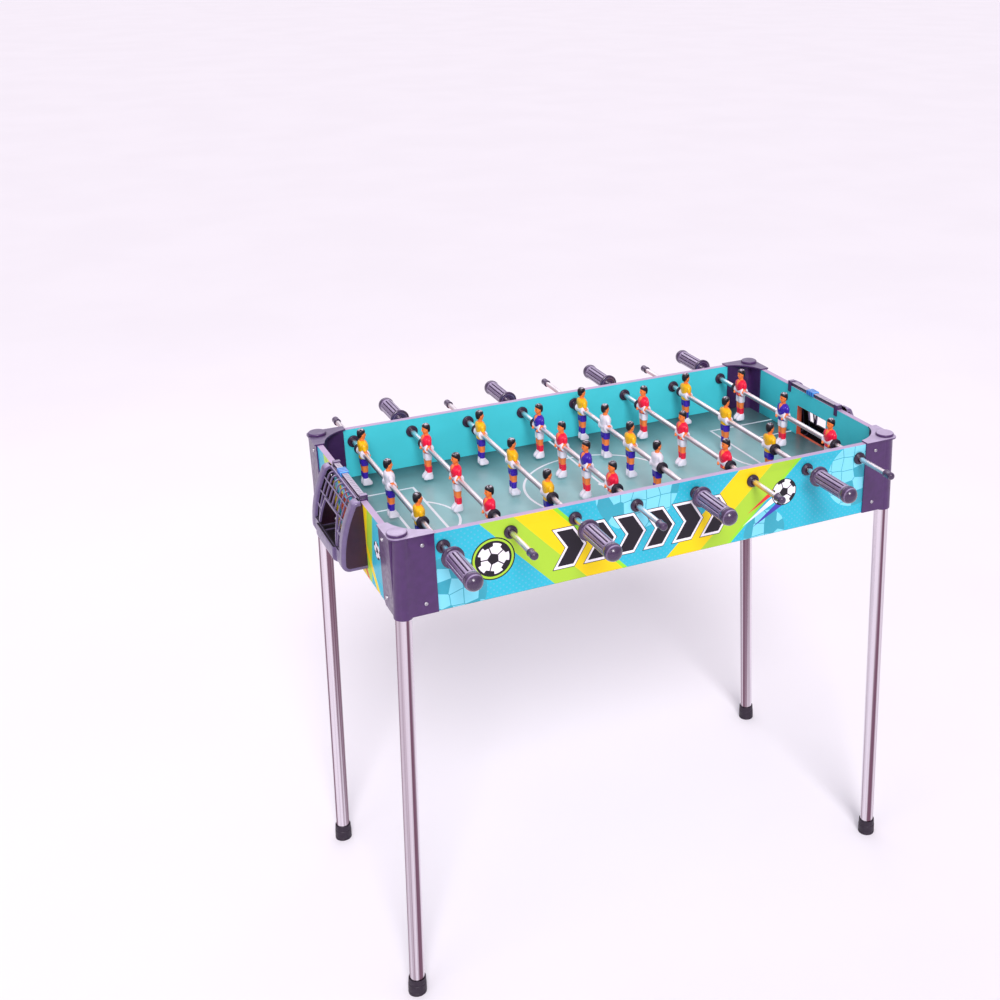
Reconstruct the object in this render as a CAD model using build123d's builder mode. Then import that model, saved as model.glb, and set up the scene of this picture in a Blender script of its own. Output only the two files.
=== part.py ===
"""Table football game on four tubular legs: eight sliding, spinning player rods over a walled field.

Axes: X along the table, Y across it (players stand at -Y and +Y), Z up.
The origin lies on the floor under the middle of the playing field. Millimetres.
"""

from build123d import *
import os
from math import cos, radians, sin, sqrt, tan

os.makedirs("parts", exist_ok=True)

# ---- cabinet ----------------------------------------------------------------
BOARD_TOP = 842.0          # floor to the top edge of the side boards
CABINET_L = 892.0          # over the faces of the two end boards
CABINET_W = 477.0          # over the faces of the two long boards
BOARD_H = 128.0
BOARD_T = 10.0
BOARD_INSET = 30.0         # the boards stop this far short of each outer corner
FIELD_DROP = 90.0          # top edge of the boards down to the playing surface
FIELD_T = 5.0
GROOVE_DEPTH = 4.0         # the field board slides into grooves in the side boards
GROOVE_PLAY = 0.1
GOAL_MOUTH_W = 94.0
GOAL_MOUTH_H = 58.0

# ---- corner brackets and legs -----------------------------------------------
ARM = 62.0                 # length of each outer flange from the corner
LINER_ARM = 58.0           # length of each inner liner from the corner
SKIN = 2.5                 # wall of the moulded corner
LIP = 2.0                  # the top plate overhangs the flanges by this much
FLANGE_CHAMFER = 9.0
WEB_T = 5.0                # webs tie the flanges to the round column of the socket
WEB_DEPTH = 6.0
PLATE_MID = 30.0           # the concave edge of the top plate, in from both faces on the diagonal
PLATE_CORNER_R = 14.0
LEG_D = 25.0
LEG_WALL = 1.2
LEG_CENTRE = 10.8          # leg axis in from both board faces, at the bottom edge of the boards
LEG_SPLAY = 2.2            # degrees, outward along X
SOCKET_R = 14.5
SOCKET_BELOW = 3.0         # the socket ends this far below the boards
SOCKET_DEPTH = 108.0
SOCKET_FIT = 0.05
SOCKET_RELIEF = 0.6        # the field board clears the sockets by this much
CAP_R = 15.5
CAP_H = 5.5
CAP_IN_X = 12.0            # centre of the disc, in from the end board's face
CAP_IN_Y = 15.4
FOOT_R = 15.5
FOOT_H = 30.0
FOOT_SOLE = 5.0

# ---- goal boxes --------------------------------------------------------------
GOAL_BOX_W = 182.0
GOAL_BOX_DEPTH = 40.5
GOAL_BOX_SHOULDER = 8.0    # flat depth at the top of the box
CROWN_REACH = 10.0         # the rounded shoulder runs out and down by these
CROWN_FALL = 9.0
GOAL_BOX_TOP = 4.0         # above the top edge of the boards
GOAL_BOX_BOTTOM = 111.0    # below the top edge of the boards
GOAL_BOX_LEDGE_W = 3.0     # lower ledge beside the score bar, so that its bead can pass
GOAL_BOX_LEDGE_DROP = 1.0
GOAL_BOX_BELLY_RISE = 14.0 # the net reaches its full depth this far above the floor of the box
FLOOR_ROUNDING = 12.0
NET_MID_IN = 6.0           # at half height the net stands this far inside the full depth
NET_MID_DROP = 55.0
GOAL_BOX_WALL = 2.5
RIM_W = 20.0               # plain band along each side of the net
NET_COLUMNS = 8
NET_PITCH = (GOAL_BOX_W - 2 * RIM_W) / NET_COLUMNS
NET_BAR = 3.0
NET_ROW_DROPS = (10.5, 32.0, 56.0, 80.0)   # cross bars of the net, below the top edge of the boards
CROWN_HOLE_IN = 5.5        # the top row of holes, from above, starts this far out from the board
CROWN_HOLE_OUT = 19.5
POCKET_TOP_W = 72.0
POCKET_BOTTOM_W = 100.0
POCKET_FRAME = 3.0
TRAY_W = 100.0             # ball tray that stands proud of the box below the pocket
TRAY_OUT = 3.5
TRAY_TOP_DROP = 81.5
TRAY_BOTTOM_DROP = 108.0

# ---- score bars ----------------------------------------------------------------
SCORE_BAR_L = 160.0
SCORE_BAR_W = 10.0
SCORE_BAR_T = 4.0
SCORE_BAR_RISE = 3.0       # underside of the bar above the boards
BEAD_L = 22.0
BEAD_WALL = 1.8
BEAD_PLAY = 0.3
BEAD_LEFT_Y = 34.0
BEAD_RIGHT_Y = 7.0
HOLDER_L = 9.0
HOLDER_DROP = 12.0
HOLDER_WALL = 2.0

# ---- rods ------------------------------------------------------------------------
ROD_PITCH = 106.0
ROD_DROP = 23.0            # rod axis below the top edge of the boards
ROD_R = 4.5
ROD_BORE_R = 3.7
RUNNING_FIT = 0.06         # radial play of a rod in its bushings and bumpers
SNUG_FIT = 0.03            # radial play of the pieces fixed on a rod
COLLAR_STANDOFF = 60.0     # handle collar to board face, rod centred
HANDLE_L = 100.0
COLLAR_R = 17.5
COLLAR_L = 8.0
TUBE_SHORT = 18.0          # the tube ends this far inside the tip of the handle
GRIP_R = 13.2
KNOB_R = 14.4
CAP_END_REACH = 92.0       # end cap beyond the board face, rod centred
END_CAP_L = 20.0
END_CAP_R = 6.5
END_CAP_TIP = 2.5          # solid tip beyond the bore
BUSHING_R = 10.8
BUSHING_BARREL_R = 7.0
BUSHING_TAPER = 18.0       # degrees
BUSHING_OUT = 6.0
BUSHING_IN = 4.0
FIGURE_SPAN = 300.0        # between the first and the last figure on every rod
HUB_HALF = 14.0
HUB_R = 8.5
BUMPER_R = 10.0
BUMPER_T = 7.0
BUMPER_GAP = 0.3

# each rod: number of figures and where it rests along Y
ROD_LAYOUT = [(3, 20.0), (3, -5.0), (3, 14.0), (4, -3.0), (4, 43.0), (3, -2.0), (3, 27.0), (3, -2.0)]

# ---- fasteners ---------------------------------------------------------------------
SCREW_HEAD_R = 3.4
SCREW_HEAD_H = 1.8
SCREW_HEAD_TAPER = 25.0    # degrees
SCREW_R = 1.7
SCREW_PLAY = 0.1
SCREW_L = 9.5

HALF_L = CABINET_L / 2
HALF_W = CABINET_W / 2
BOARD_BOTTOM = BOARD_TOP - BOARD_H
FIELD_TOP = BOARD_TOP - FIELD_DROP
ROD_Z = BOARD_TOP - ROD_DROP
ROD_COUNT = len(ROD_LAYOUT)


def rod_x(index):
    """Place of a rod along the table; index counts from the -X end."""
    return (index - (ROD_COUNT - 1) / 2) * ROD_PITCH


def handle_side(index):
    """Side of the table that holds the rod's handle: the first, third, ... rods are played from -Y."""
    return -1 if index % 2 == 0 else 1


def finish_part(builder, name):
    """Label one finished sub-part and write it out."""
    builder.part.label = name
    export_step(builder.part, f"parts/{name}.step")


def bore_across(x, y_from, length, radius):
    """Cut a round hole along Y at rod height, starting at y_from."""
    with BuildSketch(Plane(origin=(x, y_from, ROD_Z), x_dir=(1, 0, 0), z_dir=(0, 1, 0))) as hole:
        Circle(radius)
    extrude(hole.sketch, amount=length, mode=Mode.SUBTRACT)


# ---- screw places --------------------------------------------------------------------
FLANGE_SCREW_IN = 43.0     # from the corner, along each flange
FLANGE_SCREW_DROPS = (14.0, 110.0)
GOAL_SCREW_Y = 84.0
GOAL_SCREW_DROPS = (18.0, 96.0)
EAR_H = 14.0
EAR_T = SKIN


def screw_plane(point, outward):
    """Plane on a face, its normal pointing out of the board."""
    return Plane(origin=point, x_dir=(0, 0, 1), z_dir=outward)


def long_board_screws(side):
    """Screw planes on the outer face of a long board's two flanges."""
    return [
        screw_plane((end * (HALF_L - FLANGE_SCREW_IN), side * HALF_W, BOARD_TOP - drop), (0, side, 0))
        for end in (-1, 1)
        for drop in FLANGE_SCREW_DROPS
    ]


def end_board_screws(end):
    """Screw planes on the outer face of an end board's two flanges."""
    return [
        screw_plane((end * HALF_L, side * (HALF_W - FLANGE_SCREW_IN), BOARD_TOP - drop), (end, 0, 0))
        for side in (-1, 1)
        for drop in FLANGE_SCREW_DROPS
    ]


def goal_box_screws(end):
    """Screw planes where the ears of a goal box meet its end board."""
    return [
        screw_plane((end * HALF_L, side * GOAL_SCREW_Y, BOARD_TOP - drop), (end, 0, 0))
        for side in (-1, 1)
        for drop in GOAL_SCREW_DROPS
    ]


def pilot_holes(planes, depth):
    """Cut blind holes for screws, from each plane into the material behind it."""
    for plane in planes:
        with BuildSketch(plane.offset(SKIN + 1)) as hole:
            Circle(SCREW_R + SCREW_PLAY)
        extrude(hole.sketch, amount=-(depth + SKIN + 1), mode=Mode.SUBTRACT)


# ---- boards ------------------------------------------------------------------------------
def groove(length, along_x, offset):
    """Cut the field groove into the inner face of a board whose face lies at the given offset."""
    groove_h = FIELD_T + 2 * GROOVE_PLAY
    mid = FIELD_TOP - FIELD_T / 2
    inward = -1 if offset > 0 else 1
    centre = offset - inward * (GROOVE_DEPTH + GROOVE_PLAY) / 2
    place = (0, centre, mid) if along_x else (centre, 0, mid)
    size = (length, GROOVE_DEPTH + GROOVE_PLAY) if along_x else (GROOVE_DEPTH + GROOVE_PLAY, length)
    with BuildSketch(Plane(origin=place).offset(-groove_h / 2)) as slot:
        Rectangle(*size)
    extrude(slot.sketch, amount=groove_h, mode=Mode.SUBTRACT)


def make_long_board(side, name):
    """Front or back board, bored for the bushings of all the rods."""
    mid_y = side * (HALF_W - BOARD_T / 2)
    length = CABINET_L - 2 * BOARD_INSET
    with BuildPart() as board:
        with BuildSketch(Plane(origin=(0, mid_y, BOARD_BOTTOM))):
            Rectangle(length, BOARD_T)
        extrude(amount=BOARD_H)
        groove(length, True, side * (HALF_W - BOARD_T))
        for index in range(ROD_COUNT):
            bore_across(rod_x(index), mid_y - BOARD_T, 2 * BOARD_T, BUSHING_BARREL_R + SNUG_FIT)
        pilot_holes(long_board_screws(side), SCREW_L)
    finish_part(board, name)


def make_end_board(end, name):
    """End board with the goal mouth cut out down to the playing surface."""
    mid_x = end * (HALF_L - BOARD_T / 2)
    width = CABINET_W - 2 * BOARD_INSET
    with BuildPart() as board:
        with BuildSketch(Plane(origin=(mid_x, 0, BOARD_BOTTOM))):
            Rectangle(BOARD_T, width)
        extrude(amount=BOARD_H)
        groove(width, False, end * (HALF_L - BOARD_T))
        with BuildSketch(Plane(origin=(mid_x, 0, FIELD_TOP))):
            Rectangle(2 * BOARD_T, GOAL_MOUTH_W)
        extrude(amount=GOAL_MOUTH_H, mode=Mode.SUBTRACT)
        pilot_holes(end_board_screws(end) + goal_box_screws(end), SCREW_L - SKIN)
    finish_part(board, name)


def leg_plane(end, side, z):
    """Plane across a leg where its axis passes height z, its normal up along the leaning leg."""
    lean = tan(radians(LEG_SPLAY)) * (BOARD_BOTTOM - z)
    point = (end * (HALF_L - LEG_CENTRE + lean), side * (HALF_W - LEG_CENTRE), z)
    up = (-end * sin(radians(LEG_SPLAY)), 0, cos(radians(LEG_SPLAY)))
    return Plane(origin=point, x_dir=(0, 1, 0), z_dir=up)


CORNERS = [(end, side) for end in (-1, 1) for side in (-1, 1)]


def make_playfield():
    """Playing board, relieved at the corners for the leg sockets."""
    tongue = 2 * GROOVE_DEPTH
    with BuildPart() as field:
        with BuildSketch(Plane.XY.offset(FIELD_TOP - FIELD_T)):
            Rectangle(CABINET_L - 2 * BOARD_T + tongue, CABINET_W - 2 * BOARD_T + tongue)
        extrude(amount=FIELD_T)
        for end, side in CORNERS:
            with BuildSketch(leg_plane(end, side, FIELD_TOP - 4 * FIELD_T)):
                Circle(SOCKET_R + SOCKET_RELIEF)
            extrude(amount=8 * FIELD_T, mode=Mode.SUBTRACT)
    finish_part(field, "playfield")


# ---- corner brackets -------------------------------------------------------------------------
def corner_rectangle(end, side, u_span, v_span):
    """Rectangle given by its distances in from the end face (u) and from the long face (v)."""
    u_mid = sum(u_span) / 2
    v_mid = sum(v_span) / 2
    with Locations((end * (HALF_L - u_mid), side * (HALF_W - v_mid))):
        Rectangle(u_span[1] - u_span[0], v_span[1] - v_span[0])


def make_corner_bracket(end, side, name):
    """Moulded corner: two outer flanges, two inner liners, a top plate and the leg socket."""

    def place(u, v):
        return (end * (HALF_L - u), side * (HALF_W - v))

    inner = BOARD_T + SKIN
    edge = SKIN + LIP
    bend = PLATE_CORNER_R - edge
    bend_mid = bend - PLATE_CORNER_R * cos(radians(45))
    with BuildPart() as bracket:
        with BuildSketch(Plane.XY.offset(BOARD_BOTTOM)):
            corner_rectangle(end, side, (LEG_CENTRE, ARM), (-SKIN, 0))
            corner_rectangle(end, side, (-SKIN, 0), (LEG_CENTRE, ARM))
            corner_rectangle(end, side, (LEG_CENTRE, LEG_CENTRE + WEB_T), (-SKIN, WEB_DEPTH))
            corner_rectangle(end, side, (-SKIN, WEB_DEPTH), (LEG_CENTRE, LEG_CENTRE + WEB_T))
        extrude(amount=BOARD_H + SKIN / 2)
        with BuildSketch(Plane.XY.offset(FIELD_TOP)):
            corner_rectangle(end, side, (BOARD_T, LINER_ARM), (BOARD_T, inner))
            corner_rectangle(end, side, (BOARD_T, inner), (BOARD_T, LINER_ARM))
        extrude(amount=FIELD_DROP + SKIN / 2)
        # the end flange loses its lower outer corner
        with BuildSketch(Plane(origin=(end * HALF_L, 0, 0), x_dir=(0, 1, 0), z_dir=(1, 0, 0))):
            with BuildLine():
                low = BOARD_BOTTOM - 1
                tip = side * (HALF_W - ARM - 1)
                Polyline(
                    (tip, low),
                    (tip + side * (FLANGE_CHAMFER + 2), low),
                    (tip, low + FLANGE_CHAMFER + 2),
                    close=True,
                )
            make_face()
        extrude(amount=2 * SKIN, both=True, mode=Mode.SUBTRACT)
        with BuildSketch(leg_plane(end, side, BOARD_BOTTOM - SOCKET_BELOW)):
            Circle(SOCKET_R)
        extrude(amount=BOARD_H + SOCKET_BELOW + SKIN / 2)
        # top plate: rounded outside, one concave arc on the side of the field
        with BuildSketch(Plane.XY.offset(BOARD_TOP)):
            with BuildLine():
                Polyline(place(ARM, inner), place(ARM, -edge), place(bend, -edge))
                ThreePointArc(place(bend, -edge), place(bend_mid, bend_mid), place(-edge, bend))
                Polyline(place(-edge, bend), place(-edge, ARM), place(inner, ARM))
                ThreePointArc(place(inner, ARM), place(PLATE_MID, PLATE_MID), place(ARM, inner))
            make_face()
        extrude(amount=SKIN)
        with BuildSketch(leg_plane(end, side, BOARD_BOTTOM - SOCKET_BELOW)):
            Circle(LEG_D / 2 + SOCKET_FIT)
        extrude(amount=SOCKET_DEPTH, mode=Mode.SUBTRACT)
        flange_planes = [p for p in long_board_screws(side) if p.origin.X * end > 0]
        flange_planes += [p for p in end_board_screws(end) if p.origin.Y * side > 0]
        pilot_holes(flange_planes, SKIN)
    finish_part(bracket, name)


def make_corner_caps():
    """Round discs that close the leg sockets from above, one on each corner."""
    base = BOARD_TOP + SKIN
    with BuildPart() as caps:
        for end, side in CORNERS:
            centre = (end * (HALF_L - CAP_IN_X), side * (HALF_W - CAP_IN_Y), base)
            with BuildSketch(Plane(origin=centre)):
                Circle(CAP_R)
            extrude(amount=CAP_H)
        fillet(caps.faces().group_by(Axis.Z)[-1].edges(), CAP_H / 2)
    finish_part(caps, "corner_caps")


def make_legs():
    """Four steel tubes, pushed up into the sockets and down into the feet."""
    reach = BOARD_BOTTOM - SOCKET_BELOW + SOCKET_DEPTH - 1
    with BuildPart() as legs:
        for end, side in CORNERS:
            with BuildSketch(leg_plane(end, side, FOOT_SOLE + 1)):
                Circle(LEG_D / 2)
                Circle(LEG_D / 2 - LEG_WALL, mode=Mode.SUBTRACT)
            extrude(amount=reach - FOOT_SOLE - 1)
    finish_part(legs, "legs")


def make_feet():
    """Moulded ferrules with a level sole under each leaning leg."""
    with BuildPart() as feet:
        for end, side in CORNERS:
            with BuildSketch(leg_plane(end, side, -FOOT_SOLE)):
                Circle(FOOT_R)
            extrude(amount=FOOT_H + FOOT_SOLE)
            with BuildSketch(leg_plane(end, side, FOOT_SOLE)):
                Circle(LEG_D / 2 + SOCKET_FIT)
            extrude(amount=FOOT_H, mode=Mode.SUBTRACT)
        split(bisect_by=Plane.XY, keep=Keep.TOP)
    finish_part(feet, "leg_feet")


# ---- goal boxes ----------------------------------------------------------------------------------
def goal_box_outline(plane, wall):
    """Side profile of a goal box, drawn inwards by the wall: out to a shoulder, then curving down."""
    ledge = BOARD_TOP - GOAL_BOX_LEDGE_DROP - wall
    step = GOAL_BOX_LEDGE_W + wall
    top = BOARD_TOP + GOAL_BOX_TOP - wall
    bottom = BOARD_TOP - GOAL_BOX_BOTTOM + wall
    depth = GOAL_BOX_DEPTH - wall
    belly = bottom + GOAL_BOX_BELLY_RISE
    shoulder = GOAL_BOX_SHOULDER - wall / 3
    with BuildSketch(plane) as outline:
        with BuildLine():
            Polyline((-wall, bottom), (-wall, ledge), (step, ledge), (step, top), (shoulder, top))
            crown = (shoulder + CROWN_REACH, top - CROWN_FALL)
            ThreePointArc((shoulder, top), (shoulder + CROWN_REACH * 0.62, top - CROWN_FALL * 0.3), crown)
            ThreePointArc(crown, (depth - NET_MID_IN, top - NET_MID_DROP), (depth, belly))
            turn = (depth - FLOOR_ROUNDING * 0.3, bottom + GOAL_BOX_BELLY_RISE * 0.3)
            ThreePointArc((depth, belly), turn, (depth - FLOOR_ROUNDING, bottom))
            Line((depth - FLOOR_ROUNDING, bottom), (-wall, bottom))
        make_face()
    return outline.sketch


def ball_tray_outline(plane, wall):
    """Side profile of the ball tray, drawn inwards by the wall; its upper side opens into the pocket."""
    depth = GOAL_BOX_DEPTH + TRAY_OUT - wall
    top = BOARD_TOP - TRAY_TOP_DROP - wall
    bottom = BOARD_TOP - TRAY_BOTTOM_DROP + wall
    middle = (top + bottom) / 2
    root = GOAL_BOX_DEPTH / 2
    with BuildSketch(plane) as outline:
        with BuildLine():
            Polyline((root, bottom), (root, top), (depth - 1, top), (depth, middle))
            Spline((depth, middle), (depth - TRAY_OUT, bottom + 6), (depth - 2 * FLOOR_ROUNDING / 3, bottom))
            Line((depth - 2 * FLOOR_ROUNDING / 3, bottom), (root, bottom))
        make_face()
    return outline.sketch


def net_cells():
    """Centres (y, z), widths and heights of the net's holes; none touches the pocket or its frame."""
    pocket_top, pocket_bottom = NET_ROW_DROPS[1], NET_ROW_DROPS[-1]
    widen = (POCKET_BOTTOM_W - POCKET_TOP_W) / (pocket_bottom - pocket_top) / 2
    cells = []
    for upper, lower in zip(NET_ROW_DROPS, NET_ROW_DROPS[1:]):
        pocket_half = POCKET_TOP_W / 2 + widen * (lower - pocket_top) + POCKET_FRAME
        for y in net_columns():
            if upper < pocket_top or abs(y) - NET_PITCH / 2 + NET_BAR / 2 > pocket_half:
                cells.append((y, BOARD_TOP - (upper + lower) / 2, NET_PITCH - NET_BAR, lower - upper - NET_BAR))
    return cells


def net_columns():
    """Places across the goal box of the net's columns of holes."""
    return [(column - (NET_COLUMNS - 1) / 2) * NET_PITCH for column in range(NET_COLUMNS)]


def make_goal_box(end, name):
    """Ball catcher outside the goal: side walls, a floor and a curved net with the ball pocket in it."""
    half = GOAL_BOX_W / 2
    with BuildPart() as box:
        side_plane = Plane(origin=(end * HALF_L, end * half, 0), x_dir=(end, 0, 0), z_dir=(0, -end, 0))
        extrude(goal_box_outline(side_plane, 0), amount=GOAL_BOX_W)
        tray_plane = side_plane.offset((GOAL_BOX_W - TRAY_W) / 2)
        extrude(ball_tray_outline(tray_plane, 0), amount=TRAY_W)
        inner_plane = side_plane.offset(GOAL_BOX_WALL)
        inner_w = GOAL_BOX_W - 2 * GOAL_BOX_WALL
        extrude(goal_box_outline(inner_plane, GOAL_BOX_WALL), amount=inner_w, mode=Mode.SUBTRACT)
        tray_inner = ball_tray_outline(tray_plane.offset(GOAL_BOX_WALL), GOAL_BOX_WALL)
        extrude(tray_inner, amount=TRAY_W - 2 * GOAL_BOX_WALL, mode=Mode.SUBTRACT)
        face = Plane(origin=(end * (HALF_L + EAR_T), 0, 0), x_dir=(0, end, 0), z_dir=(end, 0, 0))
        with BuildSketch(face):
            for y, z, width, height in net_cells():
                with Locations((y, z)):
                    Rectangle(width, height)
            with BuildLine():
                pocket_top = BOARD_TOP - NET_ROW_DROPS[1] - NET_BAR / 2
                pocket_bottom = BOARD_TOP - NET_ROW_DROPS[-1]
                Polyline(
                    (-POCKET_TOP_W / 2, pocket_top),
                    (POCKET_TOP_W / 2, pocket_top),
                    (POCKET_BOTTOM_W / 2, pocket_bottom),
                    (-POCKET_BOTTOM_W / 2, pocket_bottom),
                    close=True,
                )
            make_face()
        extrude(amount=2 * GOAL_BOX_DEPTH, mode=Mode.SUBTRACT)
        # the top row of holes opens upwards, so that the net's ribs run up to the board
        with BuildSketch(Plane.XY.offset(BOARD_TOP - NET_ROW_DROPS[0] + NET_BAR / 2)):
            for y in net_columns():
                with Locations((end * (HALF_L + (CROWN_HOLE_IN + CROWN_HOLE_OUT) / 2), y)):
                    Rectangle(CROWN_HOLE_OUT - CROWN_HOLE_IN, NET_PITCH - NET_BAR)
        extrude(amount=NET_ROW_DROPS[0] + 2 * GOAL_BOX_TOP, mode=Mode.SUBTRACT)
        # ears inside the box take the screws into the end board
        for plane in goal_box_screws(end):
            with BuildSketch(plane):
                Rectangle(EAR_H, 2 * (half - GOAL_SCREW_Y))
            extrude(amount=EAR_T)
            with BuildSketch(plane):
                Circle(SCREW_R + SCREW_PLAY)
            extrude(amount=EAR_T, mode=Mode.SUBTRACT)
    finish_part(box, name)


# ---- score bars --------------------------------------------------------------------------------------
SCORE_X = HALF_L - BOARD_T / 2
SCORE_Z = BOARD_TOP + SCORE_BAR_RISE


def make_score_bars():
    """Flat rails above the end boards; the beads slide on them."""
    with BuildPart() as bars:
        for end in (-1, 1):
            with BuildSketch(Plane(origin=(end * SCORE_X, 0, SCORE_Z))):
                Rectangle(SCORE_BAR_W, SCORE_BAR_L)
            extrude(amount=SCORE_BAR_T)
        fillet(bars.edges().filter_by(Axis.Y), 0.8)
    finish_part(bars, "score_bars")


def make_score_holders():
    """Saddles on the top edge of each end board, hooked over its inner face, that carry the score bar."""
    top = SCORE_Z + SCORE_BAR_T + HOLDER_WALL
    width = BOARD_T + HOLDER_WALL
    with BuildPart() as holders:
        for end in (-1, 1):
            for side in (-1, 1):
                y = side * (SCORE_BAR_L - HOLDER_L) / 2
                mid = end * (SCORE_X - HOLDER_WALL / 2)
                with BuildSketch(Plane(origin=(mid, y, BOARD_TOP - HOLDER_DROP))):
                    Rectangle(width, HOLDER_L)
                extrude(amount=top - BOARD_TOP + HOLDER_DROP)
                with BuildSketch(Plane(origin=(end * SCORE_X, y, BOARD_TOP - HOLDER_DROP))):
                    Rectangle(BOARD_T, HOLDER_L)
                extrude(amount=HOLDER_DROP, mode=Mode.SUBTRACT)
                with BuildSketch(Plane(origin=(end * SCORE_X, y, SCORE_Z))):
                    Rectangle(SCORE_BAR_W, HOLDER_L)
                extrude(amount=SCORE_BAR_T, mode=Mode.SUBTRACT)
    finish_part(holders, "score_bar_holders")


def make_score_bead(end, y, name):
    """Marker that wraps the score bar with a little play all round."""
    hole_w = SCORE_BAR_W + 2 * BEAD_PLAY
    hole_h = SCORE_BAR_T + 2 * BEAD_PLAY
    low = SCORE_Z - BEAD_PLAY
    with BuildPart() as bead:
        with BuildSketch(Plane(origin=(end * SCORE_X, y, low - BEAD_WALL))):
            Rectangle(hole_w + 2 * BEAD_WALL, BEAD_L)
        extrude(amount=hole_h + 2 * BEAD_WALL)
        fillet(bead.edges().filter_by(Axis.Y), BEAD_WALL * 0.8)
        with BuildSketch(Plane(origin=(end * SCORE_X, y, low))):
            Rectangle(hole_w, BEAD_L + 2)
        extrude(amount=hole_h, mode=Mode.SUBTRACT)
    finish_part(bead, name)


# ---- bushings and screws ---------------------------------------------------------------------------------
def make_bushings():
    """Plastic bushings through the long boards: a domed flange outside, a thinner one inside."""
    with BuildPart() as bushings:
        for side in (-1, 1):
            for index in range(ROD_COUNT):
                x = rod_x(index)
                outside = Plane(origin=(x, side * HALF_W, ROD_Z), x_dir=(1, 0, 0), z_dir=(0, side, 0))
                inside = outside.offset(-BOARD_T)
                with BuildSketch(outside):
                    Circle(BUSHING_R)
                extrude(amount=BUSHING_OUT, taper=BUSHING_TAPER)
                with BuildSketch(inside):
                    Circle(BUSHING_R)
                extrude(amount=-BUSHING_IN, taper=BUSHING_TAPER)
                with BuildSketch(inside):
                    Circle(BUSHING_BARREL_R)
                extrude(amount=BOARD_T)
                bore_across(x, side * HALF_W - 2 * BOARD_T, 4 * BOARD_T, ROD_R + RUNNING_FIT)
    finish_part(bushings, "rod_bushings")


def make_screws():
    """Pan-head screws through the bracket flanges and the ears of the goal boxes into the boards."""
    planes = [plane for side in (-1, 1) for plane in long_board_screws(side)]
    planes += [plane for end in (-1, 1) for plane in end_board_screws(end) + goal_box_screws(end)]
    with BuildPart() as screws:
        for plane in planes:
            with BuildSketch(plane.offset(SKIN)):
                Circle(SCREW_HEAD_R)
            extrude(amount=SCREW_HEAD_H, taper=SCREW_HEAD_TAPER)
            with BuildSketch(plane.offset(SKIN)):
                Circle(SCREW_R)
            extrude(amount=-(SCREW_L - SKIN))
    finish_part(screws, "board_screws")


# ---- rod assemblies ----------------------------------------------------------------------------------------
def along_rod(x, y, direction):
    """Plane across a rod, its normal along the rod in the given direction (+1 or -1 in Y)."""
    return Plane(origin=(x, y, ROD_Z), x_dir=(1, 0, 0), z_dir=(0, direction, 0))


def beside_rod(x, y, direction):
    """Plane through a rod's axis: local X is the radius, local Y runs along the rod."""
    return Plane(origin=(x, y, ROD_Z), x_dir=(1, 0, 0), z_dir=(0, 0, direction))


def make_tube(x, shift, toward, name):
    """Chromed steel tube from inside the handle to inside the end cap."""
    cap_side = HALF_W + CAP_END_REACH - END_CAP_TIP - 0.5
    handle_side_reach = HALF_W + COLLAR_STANDOFF + HANDLE_L - TUBE_SHORT
    start = shift - toward * cap_side
    with BuildPart() as tube:
        with BuildSketch(along_rod(x, start, toward)):
            Circle(ROD_R)
            Circle(ROD_BORE_R, mode=Mode.SUBTRACT)
        extrude(amount=cap_side + handle_side_reach)
    finish_part(tube, name)


def make_handle(x, shift, toward, name):
    """Moulded grip with a round collar towards the table and a domed knob at the far end."""
    start = shift + toward * (HALF_W + COLLAR_STANDOFF)
    bore = ROD_R + SNUG_FIT
    bore_end = HANDLE_L - TUBE_SHORT + 1
    knob_centre = HANDLE_L - KNOB_R
    knob_start = knob_centre - sqrt(KNOB_R**2 - GRIP_R**2)
    with BuildPart() as handle:
        with BuildSketch(beside_rod(x, start, toward)):
            with BuildLine():
                Polyline((0, bore_end), (bore, bore_end), (bore, 0), (COLLAR_R - 1, 0), (COLLAR_R, 1))
                ThreePointArc((COLLAR_R, 1), (COLLAR_R - 1.5, COLLAR_L - 3), (GRIP_R, COLLAR_L))
                Line((GRIP_R, COLLAR_L), (GRIP_R, knob_start))
                ThreePointArc((GRIP_R, knob_start), (KNOB_R, knob_centre), (0, HANDLE_L))
                Line((0, HANDLE_L), (0, bore_end))
            make_face()
        revolve(axis=Axis((x, start, ROD_Z), (0, 1, 0)))
    finish_part(handle, name)


def make_end_cap(x, shift, toward, name):
    """Soft thimble over the plain end of the tube."""
    end = shift - toward * (HALF_W + CAP_END_REACH)
    with BuildPart() as cap:
        with BuildSketch(along_rod(x, end, toward)):
            Circle(END_CAP_R)
        extrude(amount=END_CAP_L)
        tip = Vector(x, end, ROD_Z)
        outer = cap.faces().filter_by(lambda face: (face.center() - tip).length < 0.01)
        fillet(outer.edges(), END_CAP_R / 2)
        with BuildSketch(along_rod(x, end + toward * END_CAP_TIP, toward)):
            Circle(ROD_R + SNUG_FIT)
        extrude(amount=END_CAP_L, mode=Mode.SUBTRACT)
    finish_part(cap, name)


# cross-sections of a player: height above the rod, depth, width, forward offset, corner radius
BODY_SECTIONS = [
    (-59.0, 20.0, 18.0, 3.0, 4.0),
    (-52.0, 20.0, 18.0, 3.0, 5.0),
    (-46.0, 12.0, 15.0, 0.0, 5.0),
    (-22.0, 13.0, 17.0, 0.0, 5.0),
    (-10.0, 15.0, 21.0, 0.0, 6.0),
    (14.0, 15.0, 25.0, 0.0, 6.5),
    (20.0, 11.0, 18.0, 0.0, 5.0),
    (23.0, 8.0, 8.0, 0.0, 3.5),
]
HEAD_R = 8.5
HEAD_RISE = 30.5
CROWN_R = 8.0


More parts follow.
